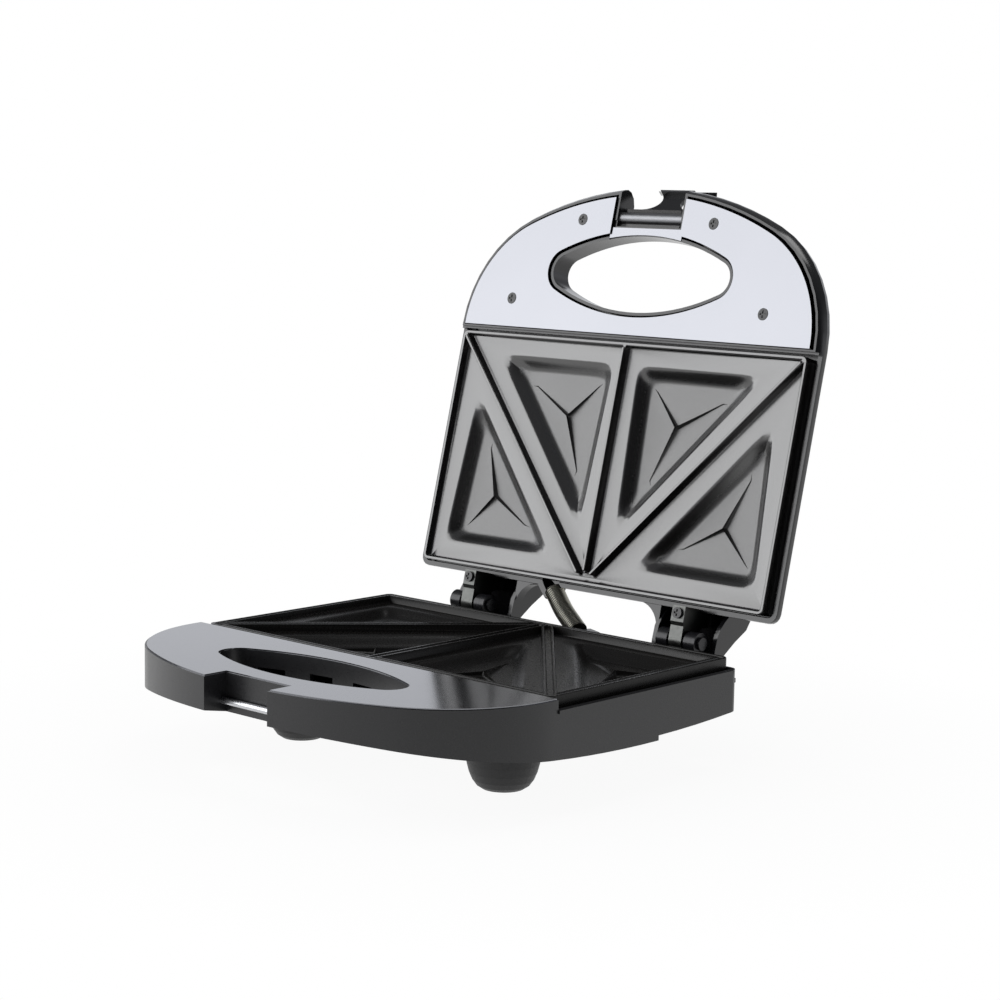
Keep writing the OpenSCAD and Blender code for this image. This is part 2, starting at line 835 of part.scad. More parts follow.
module upper_element() {
    color(metal) lid_frame() mirror([0, 0, 1]) heating_tube();
}

module lower_reflector() {
    color(metal) base_frame() reflector_pan();
}

module upper_reflector() {
    color(metal) lid_frame() mirror([0, 0, 1]) reflector_pan();
}

thermostat_top = -rim_gap - land_depth - plate_t - 1;

module thermostat() {
    color(metal)
        base_frame()
            translate([0, thermostat_y, thermostat_top]) {
                translate([0, 0, -5.5]) cylinder(h = 5.5 - near, r = 7);
                translate([0, 0, -9]) cylinder(h = 3.6, r = 4.5);
                for (s = [-1, 1])
                    box(s * 6 - 2, s * 6 + 2, -3, 3, -9.6, -9);
                box(-8, 8, -3, 3, -9, -8.4);
            }
}

// Fuse in its sleeve, terminal block and leads.
block = [-14, plate_rear + 10.25, -22.2];
block_size = [34, 10, 7.4];
block_pitch = 10;
fuse = [-48, plate_rear + 12.25, -20];
fuse_length = 24;

module thermal_fuse() {
    color([0.85, 0.8, 0.7])
        base_frame()
            difference() {
                translate(fuse) along_x(fuse_length, 2.6);
                translate(fuse) along_x(fuse_length + 6, 1.2);
            }
}

module terminal_block() {
    color([0.9, 0.9, 0.88])
        base_frame()
            difference() {
                translate(block - [block_size[0] / 2, block_size[1] / 2, 0]) cube(block_size);
                for (k = [-1 : 1])
                    translate([block[0] + k * block_pitch, block[1], block[2] + 4])
                        rotate([90, 0, 0]) cylinder(h = 20, r = 1.6, center = true);
            }
}

// A bent round lead through a list of points; up is a direction that it never runs along.
module lead(points, r, up = [0, 0, 1], n = 10) {
    m = len(points);
    rings = [for (i = [0 : m - 1])
        let (
            t = unit(points[min(i + 1, m - 1)] - points[max(i - 1, 0)]),
            u = unit(cross(t, up)),
            v = cross(u, t)
        )
        [for (k = [0 : n - 1]) points[i] + r * (u * cos(360 * k / n) + v * sin(360 * k / n))]];
    loft_between(rings);
}

lead_r = 1.1;

module base_wires() {
    seat_y = block[1] - block_size[1] / 2 - 0.1;
    seat_z = block[2] + 4;
    color([0.8, 0.2, 0.15])
        base_frame() {
            lead([[element_gap, terminal_y, element_z], [element_gap, terminal_y + 1.2, element_z],
                [element_gap, terminal_y + 3.6, element_z - 1.8],
                [block[0] + block_pitch, seat_y - 3.9, seat_z], [block[0] + block_pitch, seat_y, seat_z]], lead_r);
            lead([[-element_gap, terminal_y, element_z], [-element_gap, terminal_y + 1.2, element_z],
                [-element_gap, terminal_y + 3.6, element_z - 1.4],
                [block[0], seat_y - 1.2, seat_z], [block[0], seat_y, seat_z]], lead_r);
            lead([fuse + [fuse_length / 2 + 0.1, 0, 0], fuse + [fuse_length / 2 + 2.4, -1.5, 0],
                fuse + [fuse_length / 2 + 2.8, -7, 0.6], fuse + [fuse_length / 2 + 6.4, -10, 1],
                fuse + [fuse_length / 2 + 10.6, -10.1, 1.2],
                [block[0] - block_pitch, seat_y, seat_z]], lead_r);
        }
}

gland_r = cable_r + 1.8;

module cable_gland() {
    color(black)
        base_frame()
            translate([gland_x, bulge_y, gland_z])
                rotate([-90, 0, 0])
                    difference() {
                        union() {
                            cylinder(h = 3, r = gland_r + 1.2);
                            translate([0, 0, -wall - 3.5]) cylinder(h = wall + 3.6, r = gland_r);
                        }
                        translate([0, 0, -20]) cylinder(h = 40, r = cable_r);
                    }
}

// Latch and catch rod.
latch_y = front + 15.4;
latch_z = 5.5;
hook_tilt = 12.5;
catch_y = latch_y - latch_reach * sin(hook_tilt);
catch_z = latch_z - latch_reach * cos(hook_tilt);

module along_catch_rod() {
    translate([0, catch_y, catch_z]) children();
}

module catch_rod() {
    color(metal) base_frame() along_catch_rod() along_x(notch_w + 5, rod_r);
}

arm_out = -4;
arm_in = -rod_r - 0.35;
tooth_near = latch_reach + rod_r + 0.35;
tooth_far = tooth_near + 2.1;
lip_reach = tooth_far + 5.65;
hub_wall = 1.6;
hub_w = notch_w - 6;
hub_mouth = 40;
hub_mouth_half = 75;

// Side view in [n, u]: n inwards from the line through pin and rod, u away from the pin.
arm_profile = [
    [arm_out, 0.6], [0, latch_pin_r + 0.9], [arm_in + 0.4, 5.6], [arm_in, 8.6], [arm_in, tooth_near],
    [0.4, tooth_near], [-0.2, tooth_far], [arm_in - 0.3, tooth_far + 0.2], [-3.5, tooth_far + 2.6],
    [-5.85, lip_reach], [-8.2, lip_reach - 0.6], [-6.6, tooth_far + 3.2], [-4.7, tooth_far + 0.8],
    [arm_out, tooth_far - 1.6]
];

// Front view as [half width, u]: broad root, narrow neck and a lip that widens to its edge.
arm_plan = [
    [18, -1], [18, 8.9], [15, 9.1], [12.2, 9.5], [10, 10.3], [8.2, 11.5], [6.9, 13], [6.3, 14.6], [6.3, 16.4],
    [7, 18.2], [8.5, 20.2], [10.5, 22.2], [12.6, 24], [15.2, 26], [18.6, lip_reach + 0.1]
];

module latch_shape() {
    difference() {
        union() {
            difference() {
                along_x(hub_w, latch_pin_r + hub_wall);
                rotate([90, 0, 90])
                    translate([0, 0, -hub_w])
                        linear_extrude(2 * hub_w)
                            polygon([
                                [0, 0],
                                for (k = [-1 : 1]) 20 * [
                                    cos(hub_mouth + k * hub_mouth_half),
                                    sin(hub_mouth + k * hub_mouth_half)
                                ]
                            ]);
            }
            intersection() {
                rotate([90, 0, 90])
                    translate([0, 0, -hub_w])
                        linear_extrude(2 * hub_w) polygon([for (p = arm_profile) [p[0], -p[1]]]);
                rotate([90, 0, 0])
                    translate([0, 0, -20])
                        linear_extrude(40)
                            polygon(concat(
                                [for (p = arm_plan) [p[0], -p[1]]],
                                [for (i = [len(arm_plan) - 1 : -1 : 0]) [-arm_plan[i][0], -arm_plan[i][1]]]
                            ));
            }
        }
        along_x(60, latch_pin_r + 0.05);
    }
}

module latch() {
    color(charcoal)
        lid_frame()
            translate([0, latch_y, latch_z])
                rotate([-hook_tilt - latch_angle, 0, 0]) latch_shape();
}

module latch_pin() {
    color(metal)
        lid_frame()
            translate([0, latch_y, latch_z]) along_x(notch_w + 5, latch_pin_r);
}

// Lid casing: rings of height, half width, front, nose, corner, rear, rear corner.
t0 = side;
lid_rings = [
    [rim_z, t0 - 2.1, front + 2.1, nose_radius - 2.1, corner_radius - 2.1, lid_rear - 1.4, 4],
    [3.4, t0 - 0.7, front + 0.7, nose_radius - 0.7, corner_radius - 0.7, lid_rear - 0.5, 4.5],
    [6, t0, front, nose_radius, corner_radius, lid_rear, 5],
    [8.6, t0 - 0.4, front + 0.6, nose_radius - 0.4, corner_radius - 0.4, lid_rear - 0.1, 5],
    [11.2, t0 - 2.3, front + 3.2, nose_radius - 3, corner_radius - 3, lid_rear - 0.8, 6],
    [handle_height, t0 - 3.3, front + 7, nose_radius - 6, corner_radius - 4, lid_rear - 1.3, 7],
    [handle_height + 0.8, t0 - 4, front + 62, 420, 44, lid_rear - 1.6, 8],
    [lid_height * 0.53, t0 - 8, front + 67.4, 420, 42, lid_rear - 4.5, 10],
    [lid_height * 0.706, t0 - 14.5, front + 74.4, 420, 40, lid_rear - 10, 14],
    [lid_height * 0.853, t0 - 24, front + 84.4, 400, 38, lid_rear - 18, 18],
    [lid_height * 0.953, t0 - 39, front + 99.4, 350, 36, lid_rear - 31, 24],
    [lid_height, t0 - 61, front + 119.4, 250, 30, lid_rear - 49, 22]
];

function outer_ring(r) = lift(ring(r[1], r[2], r[3], r[4], r[5], r[6]), r[0]);

function inner_ring(r, z, w) =
    lift(ring(r[1] - w, r[2] + w, r[3] - w, r[4] - w, r[5] - w, max(r[6] - w, 1.5)), z);

module lid_outer() {
    loft([for (r = lid_rings) outer_ring(r)]);
}

module lid_inner() {
    loft(concat(
        [inner_ring(lid_rings[0], -1, rim_t), inner_ring(lid_rings[1], 3.2, wall),
         inner_ring(lid_rings[2], 6, wall), inner_ring(lid_rings[3], 8.2, wall)],
        [for (k = [4 : 11]) inner_ring(lid_rings[k], lid_rings[k][0] - wall, wall)]
    ));
}

// Hood around each hinge: outer profile in [y, z], and its inside.
hood_x0 = hinge_x - 21.5;
hood_x1 = hinge_x + 16;
hood_out = [
    [lid_rear - 3, 11.2], [lid_rear + 0.3, 10.5], [lid_rear + 2.6, 8.4], [lid_rear + 5.6, 6.4],
    [lid_rear + 9.3, 4.8], [lid_rear + 16.2, 4.5], [lid_rear + 21, 4.8], [lid_rear + 23, 6.6],
    [lid_rear + 21, 9.6], [lid_rear + 17, 12.8], [lid_rear + 11, 18.4], [lid_rear + 4.5, 25.7],
    [lid_rear - 8, 31], [lid_rear - 12, 26], [lid_rear - 8, 20]
];
hood_in = [
    [lid_rear - 9, 3], [lid_rear + 20.6, 3], [lid_rear + 20.4, 6.4], [lid_rear + 15.2, 11.2],
    [lid_rear + 9.2, 16.8], [lid_rear + 3, 23.4], [lid_rear - 5, 26], [lid_rear - 9, 20]
];

cover_screw_places = [[41, front + 17.9], [79, front + 59.7]];

module cover_screw_spots() {
    for (p = cover_screw_places, s = [-1, 1])
        translate([s * p[0], p[1], 0]) children();
}

lens_x = 14;
lens_y = front + 92;
lens_z = lid_height * 0.853 - 0.6;

module lens_spot(s) {
    translate([s * lens_x, lens_y, 0]) children();
}

module lid_housing() {
    color(charcoal)
        lid_frame()
            difference() {
                union() {
                    difference() {
                        lid_outer();
                        difference() {
                            lid_inner();
                            linear_extrude(cut_depth) oval(1.5);
                            box(-notch_w / 2 - 1.5, notch_w / 2 + 1.5, front, lid_notch_y, 0, 60);
                            box(-notch_w / 2 - 1.5, notch_w / 2 + 1.5, lid_notch_y - 1, oval_y, 0, 60);
                            box(-side, side, cover_rear + 0.3, cover_rear + 2.1, 0, 60);
                            cover_screw_spots() cylinder(h = cut_depth, r = 3.4);
                            mirror([0, 0, 1]) plate_ledge(lid_rear);
                        }
                    }
                    both()
                        difference() {
                            profile_x(hood_out, hood_x0, hood_x1);
                            profile_x(hood_in, hood_x0 + wall, hood_x1 - wall);
                        }
                    both() hood_fillet();
                    both()
                        box(hinge_x - 4.6, hinge_x + 4.6, lid_rear + 0.2, lid_rear + 5.6, 13, 21);
                    lid_socket_boss();
                }
                box(-notch_w / 2 - notch_lip - 0.7, notch_w / 2 + notch_lip + 0.7, lid_notch_y - 3, oval_y, -1, cover_z + cover_t);
                box(-side - 9, side + 9, step_y - 1.6, lid_rear + 40, -9, 3);
                lid_lip_cut();
                mirror([0, 0, 1]) plate_seat();
                linear_extrude(cut_depth) oval(0);
                box(-notch_w / 2, notch_w / 2, front - 9, lid_notch_y, -9, 80);
                translate([0, latch_y, latch_z]) along_x(notch_w + 5.2, latch_pin_r + 0.02);
                cover_screw_spots() translate([0, 0, -1]) cylinder(h = 9, r = 1.4 + screw_fit);
                cover_screw_spots() translate([0, 0, -1]) cylinder(h = 1 + cover_z + cover_t + 0.02, r = 9);
                both()
                    translate([hinge_x, lid_rear + 2.2, -4]) cylinder(h = 21, r = screw_r + screw_fit);
                lid_socket_bore();
                box(lid_socket[0] - 7, lid_socket[0] + 1, boss_rear + 1, plate_rear + 0.2, ledge_z - 1, ledge_z + ledge_t + 1);
                for (s = [-1, 1])
                    lens_spot(s) translate([0, 0, lens_z - 12]) cylinder(h = 30, r = lens_r + 0.05);
            }
}

module lid_lip_cut() {
    translate([0, 0, -9])
        linear_extrude(9 + lip_drop)
            difference() {
                translate([-side - 9, step_y - 0.4]) square([2 * side + 18, lid_rear + 20 - step_y]);
                for (s = [-1, 1])
                    translate([s * hinge_x - 22 + (s > 0 ? 0 : 6), lid_rear + 1.4]) square([38, 40]);
            }
}

module hood_fillet() {
    r = 13;
    ease = 0.3;
    translate([0, 0, lip_drop + 0.8])
        linear_extrude(5)
            difference() {
                translate([hood_x0 - r, lid_rear - 2]) square([r + 1, r + 2]);
                translate([hood_x0 - r + ease, lid_rear + r - ease]) circle(r = r);
            }
}

// Conduit sockets are given in the open pose, so they are turned back into the lid's frame.
module from_open() {
    translate([0, hinge_y, hinge_z])
        rotate([open_angle, 0, 0])
            translate([0, -hinge_y, -hinge_z])
                children();
}

// Wedge on the rear bulge whose sloping face the conduit leaves squarely.
module base_socket_wedge() {
    d = unit(base_socket_dir);
    rise = asin(d[2]);
    reach = conduit_r + 1.7;
    foot = middle_top - 1 - base_socket[2];
    translate(base_socket)
        rotate([0, 0, atan2(d[1], d[0])])
            rotate([90, 0, 0])
                translate([0, 0, -reach])
                    linear_extrude(2 * reach)
                        polygon([
                            [-foot * tan(rise), foot],
                            [-reach * sin(rise), reach * cos(rise)],
                            [-reach * sin(rise) - 3.5, reach * cos(rise)],
                            [-16, foot]
                        ]);
}

module lid_socket_boss() {
    from_open()
        at_direction(lid_socket, lid_socket_dir)
            translate([0, 0, -8.4]) cylinder(h = 8.4, r = conduit_r + 1.2);
}

module lid_socket_bore() {
    from_open()
        at_direction(lid_socket, lid_socket_dir)
            union() {
                translate([0, 0, -14]) cylinder(h = 24, r = conduit_r - 1.3);
                cylinder(h = 14, r = conduit_r + 0.3);
            }
}

module lid_handle_cover() {
    color(mirror_cover)
        lid_frame()
            translate([0, 0, cover_z])
                difference() {
                    union() {
                        linear_extrude(cover_t)
                            difference() {
                                intersection() {
                                    outline(-cover_inset, lid_rear, rear_r);
                                    translate([-side, front])
                                        square([2 * side, cover_rear - front]);
                                }
                                oval(oval_lip);
                                translate([-notch_w / 2 - notch_lip, front - 5])
                                    square([notch_w + 2 * notch_lip, oval_y - front + 5]);
                            }
                        translate([0, 0, cover_t - tongue_t])
                            linear_extrude(tongue_t)
                                difference() {
                                    translate([-notch_w / 2 - notch_lip - 0.4, lid_notch_y + 0.8])
                                        square([notch_w + 2 * notch_lip + 0.8, oval_half_d]);
                                    oval(0.5);
                                }
                    }
                    cover_screw_spots()
                        translate([0, 0, -1]) cylinder(h = 9, r = 1.4 + screw_fit);
                    cover_screw_spots()
                        translate([0, 0, -1]) cylinder(h = 1 + 0.7, r = head_r + 0.15);
                }
}

module cover_screws() {
    color(black)
        lid_frame()
            cover_screw_spots()
                translate([0, 0, cover_z + 0.7]) screw(6.4, 1.4, head_r, 0.9);
}

// Hinge brackets, pins and screws; drawn for the right side.
ear_d = 8.1;
ear_w = 6.4;
lid_knuckle_w = 7.4;
flange_z = bulge_top;
hinge_screw_x = 2.7;
hinge_screw_r = 1.2;

module base_hinge_shape() {
    difference() {
        union() {
            for (d = [-ear_d, ear_d])
                translate([hinge_x + d, 0, 0]) {
                    translate([0, hinge_y, hinge_z]) along_x(ear_w, knuckle_r);
                    box(-ear_w / 2, ear_w / 2, hinge_y - 3.5, hinge_y + 3.5, flange_z, hinge_z);
                }
            box(hinge_x - 13, hinge_x + 13, hinge_y - 5.2, hinge_y + 4.8, flange_z, flange_z + 1.6);
        }
        translate([hinge_x, hinge_y, hinge_z]) along_x(60, hinge_pin_r + 0.02);
        for (d = [-hinge_screw_x, hinge_screw_x])
            translate([hinge_x + d, hinge_y - 1.6, flange_z - 1]) cylinder(h = 5, r = hinge_screw_r + screw_fit);
    }
}

module lid_hinge_shape() {
    y0 = lid_rear - 1.2;
    y1 = lid_rear + 6.2;
    difference() {
        union() {
            translate([hinge_x, hinge_y, hinge_z]) along_x(lid_knuckle_w, knuckle_r);
            profile_x([
                [y0, -7], [y1, -7], [y1 + 1.8, -6.2], [hinge_y - 0.4, hinge_z - knuckle_r],
                [hinge_y + 2.4, hinge_z + knuckle_r - 0.7], [hinge_y - 1.4, 5.2], [y1 + 1.2, 7.4],
                [y1, 12.9], [y0 + 1.25, 12.9], [y0 + 1.25, 4.6], [y0, 4.4]
            ], hinge_x - lid_knuckle_w / 2, hinge_x + lid_knuckle_w / 2);
        }
        translate([hinge_x, hinge_y, hinge_z]) along_x(60, hinge_pin_r + 0.05);
        translate([hinge_x, lid_rear + 2.2, -9]) cylinder(h = 30, r = screw_r + screw_fit);
    }
}

module base_hinge_left() {
    color(black) base_frame() mirror([1, 0, 0]) base_hinge_shape();
}

module base_hinge_right() {
    color(black) base_frame() base_hinge_shape();
}

module lid_hinge_left() {
    color(metal) lid_frame() mirror([1, 0, 0]) lid_hinge_shape();
}

module lid_hinge_right() {
    color(metal) lid_frame() lid_hinge_shape();
}

module lid_hinge_screws() {
    color(black)
        lid_frame()
            both()
                translate([hinge_x, lid_rear + 2.2, -7]) screw(23, screw_r, 2.6, 1.2);
}

module base_hinge_screws() {
    color(metal)
        base_frame()
            both()
                for (d = [-hinge_screw_x, hinge_screw_x])
                    translate([hinge_x + d, hinge_y - 1.6, flange_z + 1.6])
                        mirror([0, 0, 1]) screw(7, hinge_screw_r, 1.9, 1);
}

module hinge_pin_shape() {
    translate([hinge_x, hinge_y, hinge_z]) along_x(2 * ear_d + ear_w + 1, hinge_pin_r);
    for (s = [-1, 1])
        translate([hinge_x + s * (ear_d + ear_w / 2 + 0.9), hinge_y, hinge_z]) along_x(1.2, hinge_pin_r + 1);
}

module hinge_pin_left() {
    color(metal) base_frame() mirror([1, 0, 0]) hinge_pin_shape();
}

module hinge_pin_right() {
    color(metal) base_frame() hinge_pin_shape();
}

// Metal conduit: straight ends for one diameter, a bend between, ribs all along.
tube_sides = 10;
straight = 2 * conduit_r;
end_a = lid_socket;
dir_a = unit(lid_socket_dir);
end_b = base_socket;
dir_b = unit(base_socket_dir);
bend_a = end_a + dir_a * straight;
bend_b = end_b + dir_b * straight;
bend_pull = norm(bend_b - bend_a) * 0.36;

function bezier(t) =
    pow(1 - t, 3) * bend_a
    + 3 * pow(1 - t, 2) * t * (bend_a + dir_a * bend_pull)
    + 3 * (1 - t) * t * t * (bend_b + dir_b * bend_pull)
    + pow(t, 3) * bend_b;

straight_steps = 14;
bend_steps = 36;
route = concat(
    [for (i = [0 : straight_steps - 1]) end_a + dir_a * straight * i / straight_steps],
    [for (i = [0 : bend_steps]) bezier(i / bend_steps)],
    [for (i = [straight_steps - 1 : -1 : 0]) end_b + dir_b * straight * i / straight_steps]
);

function tangent(i) =
    unit(route[min(i + 1, len(route) - 1)] - route[max(i - 1, 0)]);

function around(i, r, k, n) =
    let (
        t = tangent(i),
        u = unit(cross(t, [0, 1, 0])),
        v = cross(u, t),
        a = 360 * k / n
    )
    route[i] + r * (u * cos(a) + v * sin(a));

module tube(radii, inner, n) {
    m = len(route);
    outer_points = [for (i = [0 : m - 1]) for (k = [0 : n - 1]) around(i, radii[i], k, n)];
    core = [for (i = [0 : 4 : m - 1]) i];
    last_core = core[len(core) - 1] == m - 1 ? core : concat(core, [m - 1]);
    inner_points = [for (i = last_core) for (k = [0 : n - 1]) around(i, inner, k, n)];
    c = len(last_core);
    o = m * n;
    outer_faces = [for (i = [0 : m - 2]) for (k = [0 : n - 1])
        let (j = (k + 1) % n, a = i * n + k, b = i * n + j)
            for (t = [[a, b, a + n], [b, b + n, a + n]]) t];
    inner_faces = [for (i = [0 : c - 2]) for (k = [0 : n - 1])
        let (j = (k + 1) % n, a = o + i * n + k, b = o + i * n + j)
            for (t = [[a, a + n, b], [b, a + n, b + n]]) t];
    first = [for (k = [0 : n - 1])
        let (j = (k + 1) % n) for (t = [[k, o + k, j], [j, o + k, o + j]]) t];
    e = (m - 1) * n;
    f = o + (c - 1) * n;
    last = [for (k = [0 : n - 1])
        let (j = (k + 1) % n) for (t = [[e + k, e + j, f + k], [e + j, f + j, f + k]]) t];
    polyhedron(
        points = concat(outer_points, inner_points),
        faces = concat(outer_faces, inner_faces, first, last),
        convexity = 6
    );
}

rib_radii = [for (i = [0 : len(route) - 1]) i % 2 == 0 || i == len(route) - 1 ? conduit_r : conduit_r - 0.55];
crest_gap = min([for (i = [0 : 2 : len(route) - 3]) for (k = [0 : tube_sides - 1])
    norm(around(i, conduit_r, k, tube_sides) - around(i + 2, conduit_r, k, tube_sides))]);
echo("least distance between neighbouring rib crests, mm", crest_gap);

module conduit() {
    color(metal) base_frame() tube(rib_radii, conduit_r - 1.3, tube_sides);
}

lead_ring = 1.5;

module conduit_lead(a, r) {
    lead([for (i = [0 : 3 : len(route) - 1]) around(i, lead_ring, a, 3)], r, [0, 1, 0], 6);
}

module conduit_wires() {
    color([0.85, 0.85, 0.8])
        base_frame()
            for (a = [0 : 2]) conduit_lead(a, 1.05);
}

terminal_at = [0, terminal_y, -element_z];

module lid_wires() {
    color([0.85, 0.85, 0.8])
        lid_frame()
            {
                lead([for (p = [
                    [element_gap, 0, 0], [element_gap, 0.9, 0], [12, 1.1, 1.5], [10, -1.5, 3.5], [4, -2.4, 3.7],
                    [-18, -2.4, 3.7], [-24, -1.5, 2.3], [-27, 0.9, -0.7]
                ]) p + terminal_at], lead_r);
                lead([for (p = [
                    [-element_gap, 0, 0], [-element_gap, 0.9, 0], [-14.6, 1.8, -0.5], [-22, 1.8, -1.1]
                ]) p + terminal_at], lead_r);
            }
}

// Indicator lenses on the lid's top.
lens_r = 4;

module lens() {
    translate([0, 0, lens_z - 8]) cylinder(h = 9.4, r = lens_r);
}

module power_lens() {
    color([0.8, 0.1, 0.08]) lid_frame() lens_spot(-1) lens();
}

module ready_lens() {
    color([0.1, 0.6, 0.2]) lid_frame() lens_spot(1) lens();
}

base_housing();
base_bottom();
bottom_screws();
base_handle_cover();
front_feet();
rear_feet();
lower_plate();
lower_plate_screws();
lower_element();
lower_reflector();
thermostat();
thermal_fuse();
terminal_block();
base_wires();
catch_rod();
cable_gland();
base_hinge_left();
base_hinge_right();
base_hinge_screws();
hinge_pin_left();
hinge_pin_right();
conduit();
conduit_wires();
lid_housing();
lid_handle_cover();
cover_screws();
upper_plate();
upper_plate_screws();
upper_element();
upper_reflector();
lid_wires();
lid_hinge_left();
lid_hinge_right();
lid_hinge_screws();
power_lens();
ready_lens();
latch();
latch_pin();
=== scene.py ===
import math

import bmesh
import bpy
import numpy as np
from mathutils import Matrix, Vector
from mathutils.geometry import delaunay_2d_cdt


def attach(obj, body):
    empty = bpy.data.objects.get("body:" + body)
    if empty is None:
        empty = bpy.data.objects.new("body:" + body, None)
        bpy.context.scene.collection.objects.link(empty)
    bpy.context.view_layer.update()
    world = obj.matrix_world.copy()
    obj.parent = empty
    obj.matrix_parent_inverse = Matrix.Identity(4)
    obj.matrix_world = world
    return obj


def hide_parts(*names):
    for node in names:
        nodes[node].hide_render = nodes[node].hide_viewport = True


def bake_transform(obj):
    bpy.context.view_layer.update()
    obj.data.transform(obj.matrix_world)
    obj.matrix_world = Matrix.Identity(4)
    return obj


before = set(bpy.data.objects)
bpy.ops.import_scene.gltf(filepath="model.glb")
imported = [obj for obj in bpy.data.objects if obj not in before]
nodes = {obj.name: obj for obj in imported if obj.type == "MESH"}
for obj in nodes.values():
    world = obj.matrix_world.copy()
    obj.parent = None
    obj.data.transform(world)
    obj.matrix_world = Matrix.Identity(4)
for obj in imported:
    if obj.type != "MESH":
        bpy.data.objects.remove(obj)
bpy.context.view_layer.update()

scene = bpy.context.scene
scene.view_settings.view_transform = "Standard"

# Placement, in metres: the plate frame is the middle of the plates on the parting plane.
PLATE_AT = Vector((0, -0.01087, 0.051))
HINGE_AT = Vector((0, 0.06658, 0.0498))
OPEN = math.radians(-103.8)


def plate_point(x, y, z):
    """A point of the plate frame, in millimetres, placed in the scene."""
    return Vector((x, y, z)) / 1000 + PLATE_AT


def lid_point(x, y, z):
    """A point given in the closed lid's frame, in millimetres, placed in the open pose."""
    p = plate_point(x, y, z) - HINGE_AT
    return Matrix.Rotation(OPEN, 3, "X") @ p + HINGE_AT


def put(name, data):
    """An object at the origin that shows some data."""
    o = bpy.data.objects.new(name, data)
    scene.collection.objects.link(o)
    return o


def applied(piece, modifier):
    """A piece's mesh with its modifier worked in; the modifier itself goes."""
    ready = piece.evaluated_get(bpy.context.evaluated_depsgraph_get())
    mesh = bpy.data.meshes.new_from_object(ready)
    piece.modifiers.remove(modifier)
    return mesh


# Camera, solved from the photograph: azimuth, elevation and roll in degrees.
CAMERA_TURN = (42.80, 7.83, 0.97)
CAMERA_AT = (736.74, -771.41, 211.27)
CAMERA_LENS = 85.26


def make_camera():
    az, el, roll = (math.radians(a) for a in CAMERA_TURN)
    back = Vector((math.sin(az) * math.cos(el), -math.cos(az) * math.cos(el), math.sin(el)))
    right = Vector((math.cos(az), math.sin(az), 0))
    up = back.cross(right)
    across = right * math.cos(roll) + up * math.sin(roll)
    above = up * math.cos(roll) - right * math.sin(roll)
    place = plate_point(*CAMERA_AT)
    data = bpy.data.cameras.new("camera")
    data.lens = CAMERA_LENS
    data.sensor_width = 36
    camera = put("camera", data)
    camera.matrix_world = Matrix((
        (across.x, above.x, back.x, place.x),
        (across.y, above.y, back.y, place.y),
        (across.z, above.z, back.z, place.z),
        (0, 0, 0, 1),
    ))
    scene.camera = camera


make_camera()


# Colours and nodes.
def srgb(code):
    values = [int(code[i:i + 2], 16) / 255 for i in (1, 3, 5)]
    return tuple(v / 12.92 if v <= 0.04045 else ((v + 0.055) / 1.055) ** 2.4 for v in values) + (1,)


def add(tree, kind, inputs=None, **settings):
    """One node: inputs, by name or number, are links or values, and settings are its properties."""
    n = tree.nodes.new(kind)
    for key, value in settings.items():
        setattr(n, key, value)
    for key, value in (inputs or {}).items():
        if isinstance(value, bpy.types.NodeSocket):
            tree.links.new(n.inputs[key], value)
        else:
            n.inputs[key].default_value = value
    return n


def material(name, colour, rough, metal=0.0, coat=0.0, ior=1.5):
    m = bpy.data.materials.new(name)
    m.use_nodes = True
    t = m.node_tree
    shader = t.nodes["Principled BSDF"]
    shader.inputs["Base Color"].default_value = srgb(colour)
    shader.inputs["Roughness"].default_value = rough
    shader.inputs["Metallic"].default_value = metal
    shader.inputs["Coat Weight"].default_value = coat
    if not metal:
        shader.inputs["IOR"].default_value = ior
    return m, t, shader


def grainy(name, colours, rough, grain_mm, bump, metal=0.0, coat=0.0, cloud_mm=40.0, ior=1.5,
           stretch=(1, 1, 1), hollow=0.0):
    """A finish with broad clouding of its colour, fine grain in its gloss and a matching bump.

    bump is in millimetres, and hollow is the roughness that the mesh's attribute of that name adds.
    """
    m, t, shader = material(name, colours[0], rough[0], metal, coat, ior)
    at = add(t, "ShaderNodeTexCoord")
    turn = add(t, "ShaderNodeMapping", {0: at.outputs["Object"], "Scale": stretch})
    cloud = add(t, "ShaderNodeTexNoise",
                {0: turn.outputs[0], "Scale": 1000 / cloud_mm, "Detail": 4.0, "Roughness": 0.55})
    grain = add(t, "ShaderNodeTexNoise",
                {0: turn.outputs[0], "Scale": 1000 / grain_mm, "Detail": 2.0, "Roughness": 0.6})
    tint = add(t, "ShaderNodeMixRGB", {0: cloud.outputs[0], 1: srgb(colours[0]), 2: srgb(colours[1])})
    gloss = add(t, "ShaderNodeMapRange",
                {0: grain.outputs[0], 1: 0.3, 2: 0.7, 3: rough[0], 4: rough[1]})
    if hollow:
        deep = add(t, "ShaderNodeAttribute", attribute_name="hollow")
        gloss = add(t, "ShaderNodeMath", {0: deep.outputs["Fac"], 1: hollow, 2: gloss.outputs[0]},
                    operation="MULTIPLY_ADD")
    relief = add(t, "ShaderNodeBump",
                 {"Height": grain.outputs[0], "Strength": 1.0, "Distance": bump / 1000})
    t.links.new(shader.inputs["Base Color"], tint.outputs[0])
    t.links.new(shader.inputs["Roughness"], gloss.outputs[0])
    t.links.new(shader.inputs["Normal"], relief.outputs[0])
    return m


# Moulded ABS of the base, spark-eroded: near black, soft highlights, grain of about 0.6 mm.
satin_abs = grainy("satin_black_abs", ("#161618", "#1b1b1d"), (0.27, 0.37), 0.6, 0.010)
# Moulded ABS of the lid and the latch, from a smoother tool: near black with sharper highlights.
gloss_abs = grainy("glossy_black_abs", ("#131315", "#18181a"), (0.15, 0.21), 0.8, 0.004)
# Moulded ABS of the bottom cover, from a coarse tool: flat, without highlights.
matt_abs = grainy("matt_black_abs", ("#1a1a1c", "#202022"), (0.5, 0.62), 0.8, 0.02)
